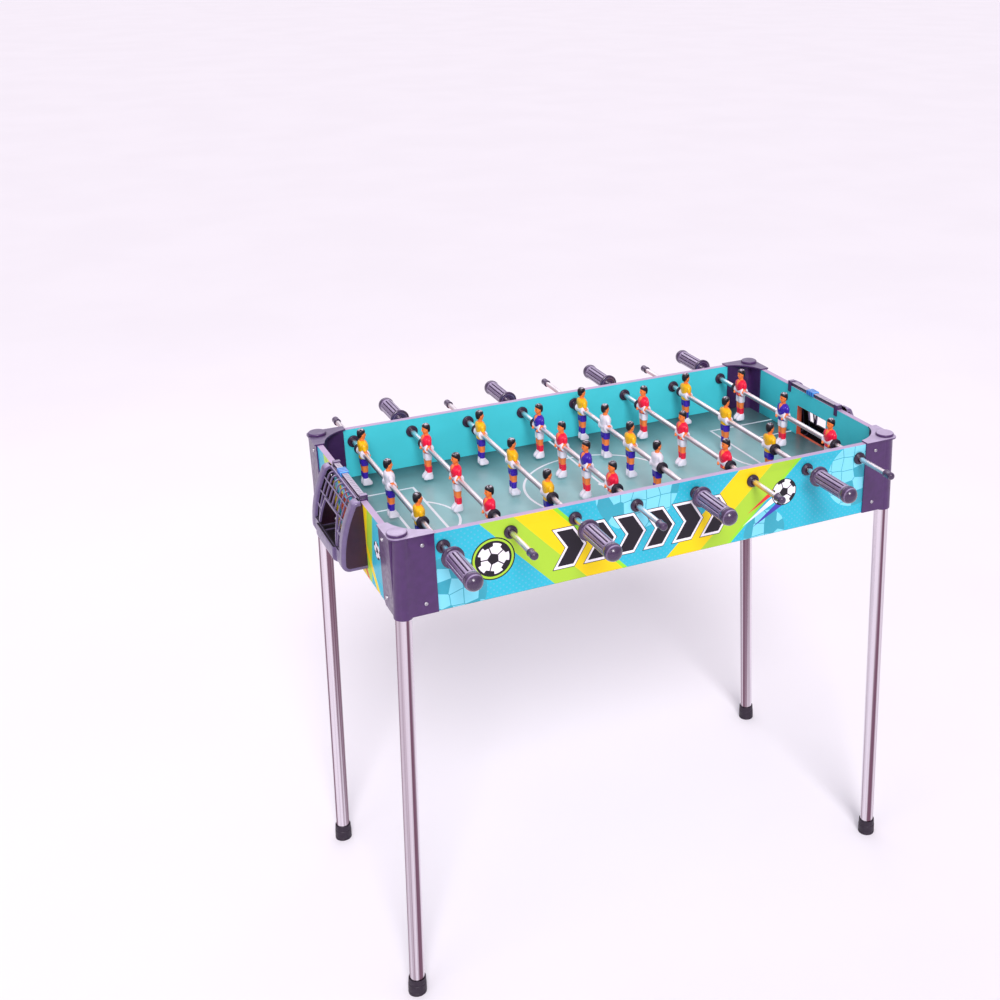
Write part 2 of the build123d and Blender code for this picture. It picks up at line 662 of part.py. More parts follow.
def figure_body():
    """One player, feet down, facing +X, with its hub centred on the origin. The hub is bored for the rod."""
    with BuildPart() as figure:
        for rise, depth, width, forward, corner in BODY_SECTIONS:
            with BuildSketch(Plane(origin=(forward, 0, rise))):
                RectangleRounded(depth, width, corner * 0.7)
        loft(ruled=True)
        with Locations((0.5, 0, HEAD_RISE)):
            Sphere(HEAD_R)
        with Locations((-0.5, 0, HEAD_RISE + 4)):
            Sphere(CROWN_R)
        across = Plane(origin=(0, -HUB_HALF, 0), x_dir=(1, 0, 0), z_dir=(0, 1, 0))
        with BuildSketch(across):
            Circle(HUB_R)
        extrude(amount=2 * HUB_HALF)
        with BuildSketch(across):
            Circle(ROD_R + SNUG_FIT)
        extrude(amount=2 * HUB_HALF, mode=Mode.SUBTRACT)
    return figure.part


def figure_places(count):
    """Places of the figures along their rod, measured from the middle one."""
    pitch = FIGURE_SPAN / (count - 1)
    return [(i - (count - 1) / 2) * pitch for i in range(count)]


def make_figures(x, shift, count, facing, player, name):
    """The players of one rod; they all look towards facing (+1 or -1 in X)."""
    turn = 0 if facing > 0 else 180
    spots = [Location((x, shift + y, ROD_Z), (0, 0, turn)) for y in figure_places(count)]
    with BuildPart() as figures:
        with Locations(*spots):
            add(player)
    finish_part(figures, name)


def make_bumpers(x, shift, name):
    """Rubber rings outside the end figures; the tube turns freely inside them."""
    near = FIGURE_SPAN / 2 + HUB_HALF + BUMPER_GAP
    with BuildPart() as bumpers:
        for side in (-1, 1):
            with BuildSketch(along_rod(x, shift + side * near, side)):
                Circle(BUMPER_R)
                Circle(ROD_R + RUNNING_FIT, mode=Mode.SUBTRACT)
            extrude(amount=BUMPER_T)
    finish_part(bumpers, name)


def make_cabinet():
    """Everything that stands still."""
    make_long_board(-1, "panel_front")
    make_long_board(1, "panel_back")
    make_end_board(-1, "panel_left")
    make_end_board(1, "panel_right")
    make_playfield()
    make_corner_bracket(-1, -1, "corner_bracket_front_left")
    make_corner_bracket(1, -1, "corner_bracket_front_right")
    make_corner_bracket(-1, 1, "corner_bracket_back_left")
    make_corner_bracket(1, 1, "corner_bracket_back_right")
    make_corner_caps()
    make_legs()
    make_feet()
    make_goal_box(-1, "goal_box_left")
    make_goal_box(1, "goal_box_right")
    make_bushings()
    make_score_bars()
    make_score_holders()
    make_screws()


def make_rods():
    """Tube, handle, end cap, players and bumpers of every rod."""
    player = figure_body()
    for index, (count, shift) in enumerate(ROD_LAYOUT):
        rod = f"rod_{index + 1}"
        x = rod_x(index)
        toward = handle_side(index)
        make_tube(x, shift, toward, f"{rod}_tube")
        make_handle(x, shift, toward, f"{rod}_handle")
        make_end_cap(x, shift, toward, f"{rod}_end_cap")
        make_figures(x, shift, count, -toward, player, f"{rod}_figures")
        make_bumpers(x, shift, f"{rod}_bumpers")


make_cabinet()
make_score_bead(-1, BEAD_LEFT_Y, "score_bead_left")
make_score_bead(1, BEAD_RIGHT_Y, "score_bead_right")
make_rods()
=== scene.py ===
from functools import partial, reduce
from math import atan2, cos, hypot, pi, radians, sin, tan

import bmesh
import bpy
from mathutils import Matrix, Vector


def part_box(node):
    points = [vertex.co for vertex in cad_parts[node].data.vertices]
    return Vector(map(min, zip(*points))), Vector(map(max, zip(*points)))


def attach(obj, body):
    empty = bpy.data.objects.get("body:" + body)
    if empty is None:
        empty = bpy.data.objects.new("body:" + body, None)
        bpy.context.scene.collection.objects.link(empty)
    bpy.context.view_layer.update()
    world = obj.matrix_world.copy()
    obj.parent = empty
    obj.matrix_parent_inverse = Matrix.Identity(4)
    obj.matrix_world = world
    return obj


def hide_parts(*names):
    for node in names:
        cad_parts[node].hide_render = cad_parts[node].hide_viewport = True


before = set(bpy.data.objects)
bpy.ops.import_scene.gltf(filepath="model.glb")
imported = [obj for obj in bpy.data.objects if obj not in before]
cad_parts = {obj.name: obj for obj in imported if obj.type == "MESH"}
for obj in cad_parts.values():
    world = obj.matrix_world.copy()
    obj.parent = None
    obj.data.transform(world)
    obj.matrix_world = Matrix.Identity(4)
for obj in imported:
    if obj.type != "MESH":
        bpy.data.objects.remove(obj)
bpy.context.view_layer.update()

MM = 0.001


# ---- places read from the frame, in millimetres
def cad_box(node):
    low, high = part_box(node)
    return low / MM, high / MM


def cad_centre(node):
    low, high = cad_box(node)
    return (low + high) / 2


FRONT_LOW, FRONT_HIGH = cad_box("panel_front")
HALF_W = -FRONT_LOW.y
HALF_L = cad_box("panel_right")[1].x
BOARD_T = FRONT_HIGH.y - FRONT_LOW.y
BOARD_TOP = FRONT_HIGH.z
BOARD_BOTTOM = FRONT_LOW.z
ROD_Z = cad_centre("rod_1_tube").z
ROD_R = (cad_box("rod_1_tube")[1].z - cad_box("rod_1_tube")[0].z) / 2
ENDS = ((-1, "left"), (1, "right"))
SIDES = ((-1, "front"), (1, "back"))
CORNERS = [(end, side) for end, _ in ENDS for side, _ in SIDES]


class Rod:
    """Where one rod and the pieces on it rest."""

    def __init__(self, number):
        self.name = f"rod_{number}"
        self.x = cad_centre(f"{self.name}_tube").x
        self.shift = cad_centre(f"{self.name}_figures").y
        self.toward = 1 if cad_centre(f"{self.name}_handle").y > 0 else -1
        self.count = 4 if number in (4, 5) else 3

    def box(self, part):
        return cad_box(f"{self.name}_{part}")

    def finish(self, bm, name, materials, slot, part, body=None, sharp=38):
        """Finish a piece that stands for one part of the rod."""
        body = body or self.name
        node = f"{self.name}_{part}"
        finish(bm, f"{self.name}_{name}", materials, node, body=body, sharp=sharp)


RODS = [Rod(number) for number in range(1, 9)]
ROD_HALF_PITCH = (RODS[1].x - RODS[0].x) / 2
GRIP_R, KNOB_R, COLLAR_R = 13.2, 14.4, 17.5
LEG_R = 12.5
LEG_SPLAY = radians(2.2)


# ---- materials
def rgb(*shades):
    """Display colour, 0 to 255, as linear light."""
    return tuple(((c / 255 + 0.055) / 1.055) ** 2.4 if c > 10 else c / 255 / 12.92 for c in shades)


def operator(operation, flipped=False):
    """Method that feeds a signal and another value to one Math node."""
    def combine(self, other=0):
        return self.paint.math(operation, *((other, self) if flipped else (self, other)))

    return combine


class Signal:
    """A number worked out by a material's nodes; arithmetic on it makes more nodes."""

    def __init__(self, paint, socket):
        self.paint = paint
        self.socket = socket

    __add__ = operator("ADD")
    __sub__ = operator("SUBTRACT")
    __rsub__ = operator("SUBTRACT", True)
    __mul__ = operator("MULTIPLY")
    __truediv__ = operator("DIVIDE")
    __mod__ = operator("FLOORED_MODULO")
    __abs__ = operator("ABSOLUTE")
    __lt__ = operator("LESS_THAN")
    __gt__ = operator("GREATER_THAN")


class Paint:
    """One procedural material and the nodes that feed its shader."""

    def __init__(self, name, roughness=0.4, metallic=0, coat=0, specular=0.5):
        self.material = bpy.data.materials.new(name)
        self.material.use_nodes = True
        self.nodes = self.material.node_tree.nodes
        self.links = self.material.node_tree.links
        self.shader = self.nodes["Principled BSDF"]
        settings = {
            "Roughness": roughness, "Metallic": metallic, "Coat Weight": coat,
            "Coat Roughness": 0.12, "Specular IOR Level": specular,
        }
        for socket, value in settings.items():
            self.shader.inputs[socket].default_value = value
        self.place = self.node("TexCoord")
        self.x, self.y, self.z = (axis / MM for axis in self.split(self.place.outputs["Object"]))

    def plug(self, value, socket):
        value = getattr(value, "socket", value)
        if isinstance(value, bpy.types.NodeSocket):
            self.links.new(value, socket)
        elif isinstance(value, tuple) and socket.type == "RGBA":
            socket.default_value = (*value, 1)
        else:
            socket.default_value = value

    def node(self, kind, *values, **settings):
        """New node with its settings made and its first inputs fed."""
        node = self.nodes.new(f"ShaderNode{kind}")
        for name, setting in settings.items():
            setattr(node, name, setting)
        for value, socket in zip(values, node.inputs):
            self.plug(value, socket)
        return node

    def math(self, operation, a, b=0, c=0):
        return Signal(self, self.node("Math", a, b, c, operation=operation).outputs[0])

    def split(self, vector):
        """The three parts of a vector or colour."""
        return [Signal(self, output) for output in self.node("SeparateXYZ", vector).outputs]

    def both(self, *masks):
        """Where all the masks hold."""
        return reduce(lambda result, mask: self.math("MINIMUM", result, mask), masks)

    def either(self, *masks):
        """Where any of the masks holds."""
        return reduce(lambda result, mask: self.math("MAXIMUM", result, mask), masks)

    def between(self, value, low, high):
        return self.both(value > low, value < high)

    def near(self, value, target, reach):
        """Where value is within reach of target."""
        return abs(value - target) < reach

    def distance(self, u, v, centre_u, centre_v):
        du = u - centre_u
        dv = v - centre_v
        return self.math("SQRT", du * du + dv * dv)

    def fade(self, value, low, high, from_value=0, to_value=1):
        """Smooth step of value between low and high."""
        numbers = (value, low, high, from_value, to_value)
        return Signal(self, self.node("MapRange", *numbers, interpolation_type="SMOOTHSTEP").outputs[0])

    def mix(self, factor, a, b):
        node = self.node("Mix", factor, data_type="RGBA")
        self.plug(a, node.inputs[6])
        self.plug(b, node.inputs[7])
        return node.outputs[2]

    def vector(self, x, y, z):
        return self.node("CombineXYZ", x, y, z).outputs[0]

    def noise(self, size, detail=3, stretch=(1, 1, 1)):
        """Noise whose features are about size millimetres across, times stretch."""
        node = self.node("TexNoise")
        node.inputs["Scale"].default_value = 1
        node.inputs["Detail"].default_value = detail
        parts = [axis / (size * s) for axis, s in zip((self.x, self.y, self.z), stretch)]
        self.plug(self.vector(*parts), node.inputs["Vector"])
        return Signal(self, node.outputs[0])

    def cells(self, u, v, size, feature="F1", output="Color"):
        """Voronoi cells of about size millimetres in the plane of u and v."""
        node = self.node("TexVoronoi", voronoi_dimensions="2D", feature=feature)
        node.inputs["Scale"].default_value = 1
        node.inputs["Randomness"].default_value = 0.45
        self.plug(self.vector(u / size, v / size, 0), node.inputs["Vector"])
        return Signal(self, node.outputs[output])

    def upward(self, low=0.55, high=0.95):
        """1 on faces that look up, 0 where the normal's height is under low."""
        return self.fade(self.split(self.place.outputs["Normal"])[2], low, high)

    def colour(self, value):
        self.plug(value, self.shader.inputs["Base Color"])

    def mottle(self, base, size=12, depth=0.12):
        """Slight uneven darkening of a colour."""
        node = self.node("HueSaturation")
        self.plug(base, node.inputs["Color"])
        shade = self.fade(self.noise(size), 0.3, 0.7, 1 - depth, 1 + depth * 0.4)
        self.plug(shade, node.inputs["Value"])
        return node.outputs[0]

    def rough(self, low, high, size=8, stretch=(1, 1, 1)):
        """Roughness that wanders between two values."""
        value = self.fade(self.noise(size, 4, stretch), 0.3, 0.7, low, high)
        self.plug(value, self.shader.inputs["Roughness"])

    def bump(self, height, depth):
        """Relief of depth millimetres from a height between 0 and 1."""
        node = self.node("Bump")
        node.inputs["Strength"].default_value = 1
        node.inputs["Distance"].default_value = depth * MM
        self.plug(height, node.inputs["Height"])
        self.links.new(node.outputs[0], self.shader.inputs["Normal"])

    def polish(self, low, high, stretch):
        """Fine polishing lines of plated metal, in roughness and relief."""
        self.rough(low, high, 0.6, stretch)
        self.bump(self.noise(0.6, 3, stretch), 0.004)


CYAN = rgb(48, 184, 208)
TURQUOISE = rgb(74, 212, 224)
PALE_CYAN = rgb(135, 222, 240)
TEAL = rgb(58, 160, 180)
LIME = rgb(170, 212, 58)
BRIGHT_LIME = rgb(150, 225, 50)
YELLOW_PRINT = rgb(244, 212, 8)
BLACK_PRINT = rgb(28, 22, 34)
WHITE_PRINT = rgb(245, 240, 248)
TOP_EDGE_SHEEN = rgb(196, 172, 206)
AUBERGINE = rgb(70, 36, 92)
SHEEN_LAVENDER = rgb(196, 180, 212)
BACK_SHEEN_LAVENDER = rgb(118, 104, 136)
FIBREBOARD = rgb(150, 116, 84)


def moulded(name, side, top=None, low=0.32, high=0.45, coat=0.1, grain=0.9, depth=0.03, back_sheen=None):
    """Moulded plastic with a fine grain; upward faces may be paler as a painted sheen, and that painted
    sheen is darker again towards the back.
    """
    paint = Paint(name, coat=coat, specular=0.4)
    # painted sheen: upward faces take the top colour, which fades to a dimmer painted sheen towards the
    # back
    if top is not None and back_sheen is not None:
        top = paint.mix(paint.fade(paint.y, -HALF_W, HALF_W), top, back_sheen)
    base = side if top is None else paint.mix(paint.upward(), side, top)
    paint.colour(paint.mottle(base))
    paint.rough(low, high)
    paint.bump(paint.noise(grain, 2), depth)
    return paint.material


def figure_paint(part, shade, low=0.26, depth=0.012):
    """Glossy plastic of the players."""
    return moulded(f"figure_{part}", rgb(*shade), low=low, high=low + 0.1, grain=1.2, depth=depth)


def grip_paint():
    """Handle plastic: ribs given a painted highlight, paler still where they face up, with dark grooves
    between them.
    """
    paint = Paint("handle_moulding", coat=0.5)
    across = paint.x % (2 * ROD_HALF_PITCH) - ROD_HALF_PITCH
    radius = paint.distance(across, paint.z, 0, ROD_Z)
    # painted sheen: the handle's surface is paler where it faces up
    skin = paint.mix(paint.upward(), rgb(60, 38, 74), rgb(88, 68, 104))
    rib = paint.both(paint.fade(radius, GRIP_R - 1.3, GRIP_R - 0.5), radius < GRIP_R + 0.08)
    # painted highlight on the ribs, paler again where they face up
    rib_highlight = paint.mix(paint.upward(), rgb(112, 92, 128), rgb(170, 154, 188))
    paint.colour(paint.mottle(paint.mix(rib, skin, rib_highlight)))
    paint.rough(0.2, 0.32)
    paint.bump(paint.noise(1.4, 2), 0.015)
    return paint.material


def hair_paint():
    """Painted hair: near black, with painted grey highlight glints in patches on the crown."""
    paint = Paint("figure_hair", specular=0.4)
    # painted highlight glints on the upward faces of the hair
    crown_glints = paint.both(paint.upward(), paint.fade(paint.noise(3.2, 2), 0.44, 0.56))
    paint.colour(paint.mottle(paint.mix(crown_glints, rgb(26, 18, 28), rgb(206, 196, 208))))
    paint.rough(0.3, 0.42)
    paint.bump(paint.noise(1, 2), 0.05)
    return paint.material


def zinc_paint():
    """Zinc-plated screw."""
    paint = Paint("zinc_screw", metallic=1)
    paint.colour(paint.mottle((0.6, 0.58, 0.62), 40, 0.06))
    paint.polish(0.28, 0.42, (1, 1, 1))
    return paint.material


def rod_paint():
    """Plated rod with a painted reflection that makes its lower side warmer and darker, polished along its
    length.
    """
    paint = Paint("chromed_rod", metallic=1)
    # painted reflection: pale on the upper side, warmer and darker on the lower side
    tone = paint.mix(paint.upward(-0.1, 0.8), rgb(204, 168, 174), (0.97, 0.9, 0.94))
    paint.colour(paint.mottle(tone, 30, 0.08))
    paint.polish(0.3, 0.42, (1, 60, 1))
    return paint.material


def leg_paint():
    """Plated tube with long painted reflection streaks, dark and pale, that follow the lean of the legs."""
    paint = Paint("chromed_leg", metallic=1)
    paint.x = abs(paint.x) + paint.z * tan(LEG_SPLAY)
    along_leg = (1, 1, 400)
    # painted reflections: broad dark streaks and fine dark lines running along the leg
    streak = paint.fade(paint.noise(8, 1, along_leg), 0.4, 0.56)
    fine = paint.fade(paint.noise(2.5, 2, along_leg), 0.35, 0.6, 0.82, 1)
    tone = paint.mix(streak, rgb(120, 88, 104), (0.8, 0.74, 0.8))
    paint.colour(paint.mix(1 - fine, tone, rgb(104, 76, 92)))
    paint.polish(0.16, 0.28, (1, 1, 60))
    return paint.material


def football(paint, u, v, centre_u, centre_v, radius, ground):
    """Plain black and white ball drawn over the ground colour."""
    r = paint.distance(u, v, centre_u, centre_v)
    angle = paint.math("ARCTAN2", v - centre_v, u - centre_u)
    fifth = 2 * pi / 5
    side = (angle + fifth / 2) % fifth - fifth / 2
    spoke = angle % fifth - fifth / 2
    pentagon = r * paint.math("COSINE", side) < radius * 0.3
    seams = paint.both(
        abs(r * paint.math("SINE", spoke)) < radius * 0.035,
        r < radius * 0.72,
    )
    patches = paint.both(
        r * paint.math("COSINE", spoke) > radius * 0.72,
        abs(spoke) < fifth * 0.27,
    )
    ink = paint.either(pentagon, seams, patches, r > radius * 0.94)
    ball = paint.mix(ink, WHITE_PRINT, BLACK_PRINT)
    return paint.mix(r < radius, ground, ball)


def ball_ghost(paint, u, v, centre_u, centre_v, radius, ground):
    """Pale panelled ball in the background of the print."""
    inside = paint.distance(u, v, centre_u, centre_v) < radius
    shade = paint.cells(u, v, 22)
    from_seam = paint.cells(u, v, 22, "DISTANCE_TO_EDGE", "Distance")
    chosen = paint.split(shade)[0] > 0.66
    tone = paint.mix(chosen, PALE_CYAN, TEAL)
    tone = paint.mix(from_seam < 0.028, tone, TEAL)
    return paint.mix(inside * 0.85, ground, tone)


def halftone(paint, u, v, ground):
    """Faint dots in a diagonal grid."""
    pitch = 5.2
    a = (u + v) % (2 * pitch)
    b = (u - v) % (2 * pitch)
    dots = paint.distance(a, b, pitch, pitch) < 2.1
    return paint.mix(dots * 0.3, ground, rgb(130, 178, 214))


def bands(paint, slanted, stripes, ground):
    """Slanted stripes: each is (start, end, colour) along the slanted coordinate."""
    for start, end, colour in stripes:
        ground = paint.mix(paint.between(slanted, start, end), ground, colour)
    return ground


def board_shell(paint, outward, print_colour):
    """Printed outer face, plain inner face, top edge made pale by a painted sheen, and raw lower edge."""
    face = outward > -0.3
    tone = paint.mix(face, paint.mottle(TURQUOISE, 90, 0.05), print_colour)
    # painted sheen: the upward top edge is given a pale lavender colour
    tone = paint.mix(paint.z > BOARD_TOP - 0.3, tone, paint.mottle(TOP_EDGE_SHEEN, 30, 0.08))
    tone = paint.mix(paint.z < BOARD_BOTTOM + 0.3, tone, paint.mottle(FIBREBOARD, 1.5, 0.4))
    paint.colour(tone)
    paint.rough(0.34, 0.48, 30)
    paint.bump(paint.noise(2.5, 2), 0.02)


def long_board_print(side):
    """Outer print of a long board: bands, ghosted balls, chevrons and two plain footballs."""
    paint = Paint(f"print_{'front' if side < 0 else 'back'}", specular=0.3)
    u = paint.x * -side + HALF_L
    v = BOARD_TOP - paint.z
    tone = halftone(paint, u, v, CYAN)
    for centre_u, centre_v, radius in ((78, 104, 62), (396, -8, 74), (632, 122, 40), (812, 52, 58)):
        tone = ball_ghost(paint, u, v, centre_u, centre_v, radius, tone)
    falling = u - v * 0.93
    stripes = ((132, 187, LIME), (187, 250, YELLOW_PRINT), (250, 258, BRIGHT_LIME))
    tone = bands(paint, falling, stripes, tone)
    rising = u + v * 1.05
    tone = bands(paint, rising, ((580, 644, YELLOW_PRINT), (644, 694, LIME), (694, 701, BRIGHT_LIME)), tone)
    # chevrons in the middle of the board
    mid_v, half_h, pitch, first, last = 70, 30, 52, 262, 574
    arrow = u + abs(v - mid_v) * 0.62
    place = (arrow - first) % pitch
    across = abs(place - pitch / 2) - 13.5
    along = abs(v - mid_v) - half_h
    edge = paint.math("MAXIMUM", across, along)
    row = paint.between(arrow, first, last)
    for reach, colour in ((5.4, BLACK_PRINT), (4.2, WHITE_PRINT), (0, BLACK_PRINT)):
        tone = paint.mix(paint.both(row, edge < reach), tone, colour)
    # ball in a ring on the left
    ring = paint.distance(u, v, 152, 62)
    for radius, colour in ((35, BLACK_PRINT), (33, LIME), (29.5, BLACK_PRINT)):
        tone = paint.mix(ring < radius, tone, colour)
    tone = football(paint, u, v, 152, 62, 27.5, tone)
    # ball with a coloured tail on the right
    ball_u, ball_v = 668, 56
    tail_angle = radians(148)
    du = u - ball_u
    dv = v - ball_v
    back = du * cos(tail_angle) + dv * sin(tail_angle)
    off = dv * cos(tail_angle) - du * sin(tail_angle)
    for offset, width, length, colour in (
        (-13, 7.5, 78, rgb(70, 62, 176)),
        (2, 7, 92, rgb(236, 240, 250)),
        (15, 6, 74, rgb(226, 54, 52)),
    ):
        taper = (1 - back / length) * width
        streak = paint.both(back > 0, abs(off - offset) < taper)
        tone = paint.mix(streak, tone, colour)
    tone = football(paint, u, v, ball_u, ball_v, 24, tone)
    board_shell(paint, paint.y * side - HALF_W, tone)
    return paint.material


def end_board_print(end):
    """Outer print of an end board: the same colours, in bands beside the goal box."""
    paint = Paint(f"print_{'left' if end < 0 else 'right'}", specular=0.3)
    u = abs(paint.y)
    v = BOARD_TOP - paint.z
    tone = halftone(paint, paint.y, v, CYAN)
    tone = ball_ghost(paint, paint.y, v, 40, 60, 60, tone)
    falling = u + v * 0.26
    tone = bands(paint, falling, ((84, 112, YELLOW_PRINT), (112, 140, LIME)), tone)
    crossing = paint.y + v * 0.9
    stripes = ((-36, -18, YELLOW_PRINT), (18, 30, rgb(226, 84, 40)), (52, 70, YELLOW_PRINT))
    tone = bands(paint, crossing, stripes, tone)
    for centre in (-152, 152):
        tone = football(paint, paint.y, v, centre, 52, 15, tone)
    board_shell(paint, paint.x * end - HALF_L, tone)
    # bare red edge round the goal mouth
    mouth = paint.both(u < 47.3, paint.between(v, 31.7, 90.5))
    printed = paint.shader.inputs["Base Color"].links[0].from_socket
    paint.colour(paint.mix(mouth, printed, paint.mottle(rgb(196, 84, 58), 14, 0.2)))
    return paint.material


def pitch_paint():
    """Grey-green playing surface with white lines, darkened along the walls by painted wall shade."""
    paint = Paint("pitch", coat=0.2)
    x, y = paint.x, paint.y
    away_x = abs(x)
    away_y = abs(y)
    line = 2.2
    circle = paint.near(paint.distance(x, y, 0, 0), 135, line)
    spot = paint.distance(x, y, 0, 0) < 6
    halfway = away_x < line
    marks = [circle, spot, halfway]
    for reach_x, reach_y in ((298, 135), (356, 65)):
        marks.append(paint.both(paint.near(away_x, reach_x, line), away_y < reach_y + line))
        marks.append(paint.both(paint.near(away_y, reach_y, line), away_x > reach_x))
    arc = paint.near(paint.distance(away_x, y, 353, 0), 87, line)
    marks.append(paint.both(arc, away_x < 298))
    marks = paint.either(*marks)
    grass = paint.mottle(rgb(146, 190, 192), 60, 0.06)
    # painted shade: the pitch turns dark near the walls, where the walls shade it
    to_wall_x = HALF_L - BOARD_T - away_x
    to_wall_y = HALF_W - BOARD_T - away_y
    wall = paint.both(paint.fade(to_wall_x, -20, 130), paint.fade(to_wall_y, -20, 150))
    grass = paint.mix(wall, paint.mottle(rgb(48, 74, 80), 60, 0.1), grass)
    lines = paint.mottle(rgb(240, 240, 246), 25, 0.05)
    paint.colour(paint.mix(marks, grass, lines))
    paint.rough(0.3, 0.42, 25)
    paint.bump(paint.noise(1.6, 2) * 0.6 + marks * 0.4, 0.03)
    return paint.material


def score_bar_paint():
    """Rail with dark sides, its top made pale by a painted sheen, and dark count marks across its top."""
    paint = Paint("score_rail", coat=0.2)
    # painted sheen: upward faces of the rail are pale, the sides dark
    base = paint.mottle(paint.mix(paint.upward(), rgb(70, 56, 84), rgb(196, 186, 206)), 9, 0.1)
    place = paint.y % 7
    stroke = paint.both(paint.near(place, 3.5, 0.8), paint.near(abs(paint.x), HALF_L - BOARD_T / 2, 3))
    paint.colour(paint.mix(stroke * 0.75, base, rgb(84, 76, 98)))
    paint.rough(0.3, 0.42)
    paint.bump(1 - stroke, 0.15)
    return paint.material


BLACK = moulded("black_moulding", AUBERGINE, SHEEN_LAVENDER, coat=0.3, back_sheen=BACK_SHEEN_LAVENDER)
CHEEK = moulded("goal_cheek_moulding", rgb(50, 22, 44), coat=0.1)
# goal box rims and net: a lighter copy of the black moulding as a painted highlight, paler still on upward
# faces as painted sheen
RIM = moulded("goal_rim_moulding", rgb(104, 88, 128), rgb(166, 150, 188), coat=0.4)
SHADE = moulded("goal_box_inside", rgb(30, 20, 32), low=0.5, high=0.65, coat=0)
DEEP_BLACK = moulded("black_rubber", rgb(40, 28, 44), low=0.45, high=0.6, coat=0, grain=0.6, depth=0.05)
BUSHING = moulded("bushing_nylon", rgb(52, 34, 58), low=0.28, high=0.4)
GRIP = grip_paint()
CHROME_ROD = rod_paint()
CHROME_LEG = leg_paint()
ZINC = zinc_paint()
SKIN = figure_paint("skin", (255, 134, 62), 0.3)
HAIR = hair_paint()
WHITE = figure_paint("white", (240, 232, 244), 0.28)
YELLOW = figure_paint("yellow", (255, 190, 6))
RED = figure_paint("red", (248, 24, 66))
BLUE = figure_paint("blue", (62, 28, 172))
FACE_INK = figure_paint("ink", (46, 30, 34), 0.3, 0.01)
LIPS = figure_paint("lips", (196, 92, 66), 0.3, 0.01)
# painted highlight: upward faces of the bead are paler blue
BEAD = moulded("bead_blue", rgb(66, 156, 240), rgb(120, 190, 250), low=0.2, high=0.3, coat=0.5)
BEAD_DARK = moulded("bead_dark_blue", rgb(36, 84, 200), low=0.2, high=0.3, coat=0.5)
FIGURE_MATERIALS = [WHITE, SKIN, HAIR, YELLOW, RED, BLUE, FACE_INK, LIPS]
SLOT_WHITE, SLOT_SKIN, SLOT_HAIR, SLOT_YELLOW, SLOT_RED, SLOT_BLUE, SLOT_INK, SLOT_LIPS = range(8)


# ---- mesh helpers
TIP = 0.01  # radius of an outline's ends on the axis


def add_object(name, data):
    thing = bpy.data.objects.new(name, data)
    bpy.context.scene.collection.objects.link(thing)
    return thing


def finish(bm, name, materials, node, bevel=0, body="cabinet", sharp=38):
    """Turn a bmesh drawn in millimetres into a finished piece that stands for a CAD node."""
    bmesh.ops.scale(bm, vec=(MM, MM, MM), verts=bm.verts)
    bmesh.ops.recalc_face_normals(bm, faces=bm.faces)
    mesh = bpy.data.meshes.new(name)
    bm.to_mesh(mesh)
    bm.free()
    for material in materials:
        mesh.materials.append(material)
    mesh.shade_smooth()
    mesh.set_sharp_from_angle(angle=radians(sharp))
    piece = add_object(name, mesh)
    if bevel:
        edge = piece.modifiers.new("edges", "BEVEL")
        edge.width = bevel * MM
        edge.segments = 2
        edge.limit_method = "ANGLE"
        edge.angle_limit = radians(35)
    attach(piece, body)
    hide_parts(node)


def refined(node, name, materials, bevel):
    """The node's own shape with its edges rounded a little."""
    bm = bmesh.new()
    bm.from_mesh(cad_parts[node].data)
    bmesh.ops.scale(bm, vec=(1 / MM,) * 3, verts=bm.verts)
    bmesh.ops.remove_doubles(bm, verts=bm.verts, dist=0.002)
    bmesh.ops.dissolve_limit(bm, angle_limit=radians(1), verts=bm.verts, edges=bm.edges)
    for face in bm.faces:
        face.material_index = 0
    finish(bm, name, materials, node, bevel)


def skin_rings(bm, rings, slot=0, closed=False, caps=True):
    """Faces between rings of points; closed joins the last ring, a copy of the first, to the first."""
    rows = [[bm.verts.new(point) for point in ring] for ring in (rings[:-1] if closed else rings)]
    if closed:
        rows.append(rows[0])
    for near, far in zip(rows, rows[1:]):
        for i in range(len(near)):
            j = (i + 1) % len(near)
            bm.faces.new((near[i], near[j], far[j], far[i])).material_index = slot
    if caps and not closed:
        bm.faces.new(rows[0][::-1]).material_index = slot
        bm.faces.new(rows[-1]).material_index = slot
    return rows


def smooth_rows(rows, steps):
    """Rows of numbers with steps more rows blended in between each pair, on a Catmull-Rom curve."""
    dense = []
    for i in range(len(rows) - 1):
        before = rows[max(i - 1, 0)]
        after = rows[min(i + 2, len(rows) - 1)]
        for step in range(steps):
            t = step / steps
            dense.append(tuple(
                0.5 * (2 * b + (c - a) * t + (2 * a - 5 * b + 4 * c - d) * t * t
                       + (3 * b - a - 3 * c + d) * t**3)
                for a, b, c, d in zip(before, rows[i], rows[i + 1], after)
            ))
    dense.append(rows[-1])
    return dense


def soften(profile, radius, steps=4):
    """Round the inner corners of an open outline."""
    points = [Vector(point) for point in profile]
    result = [points[0]]
    for before, corner, after in zip(points, points[1:], points[2:]):
        reach = min(radius, (before - corner).length * 0.45, (after - corner).length * 0.45)
        start = corner + (before - corner).normalized() * reach
        end = corner + (after - corner).normalized() * reach
        for step in range(steps + 1):
            t = step / steps
            result.append(start * (1 - t) ** 2 + corner * 2 * t * (1 - t) + end * t * t)
    result.append(points[-1])
    return result


def circle(count):
    """Cosine and sine of even steps round a circle."""
    return [(cos(2 * pi * i / count), sin(2 * pi * i / count)) for i in range(count)]


def lathe(bm, place, profile, segments=48, slot=0, shape=None):
    """Turn an outline of (radius, along) round the local Z axis of place; shape may vary the radius."""
    rings = []
    for radius, along in profile:
        ring = []
        for i in range(segments):
            angle = 2 * pi * i / segments
            r = radius if shape is None else shape(radius, along, angle)
            ring.append(place @ Vector((r * cos(angle), r * sin(angle), along)))
        rings.append(ring)
    skin_rings(bm, rings, slot, profile[0] == profile[-1])


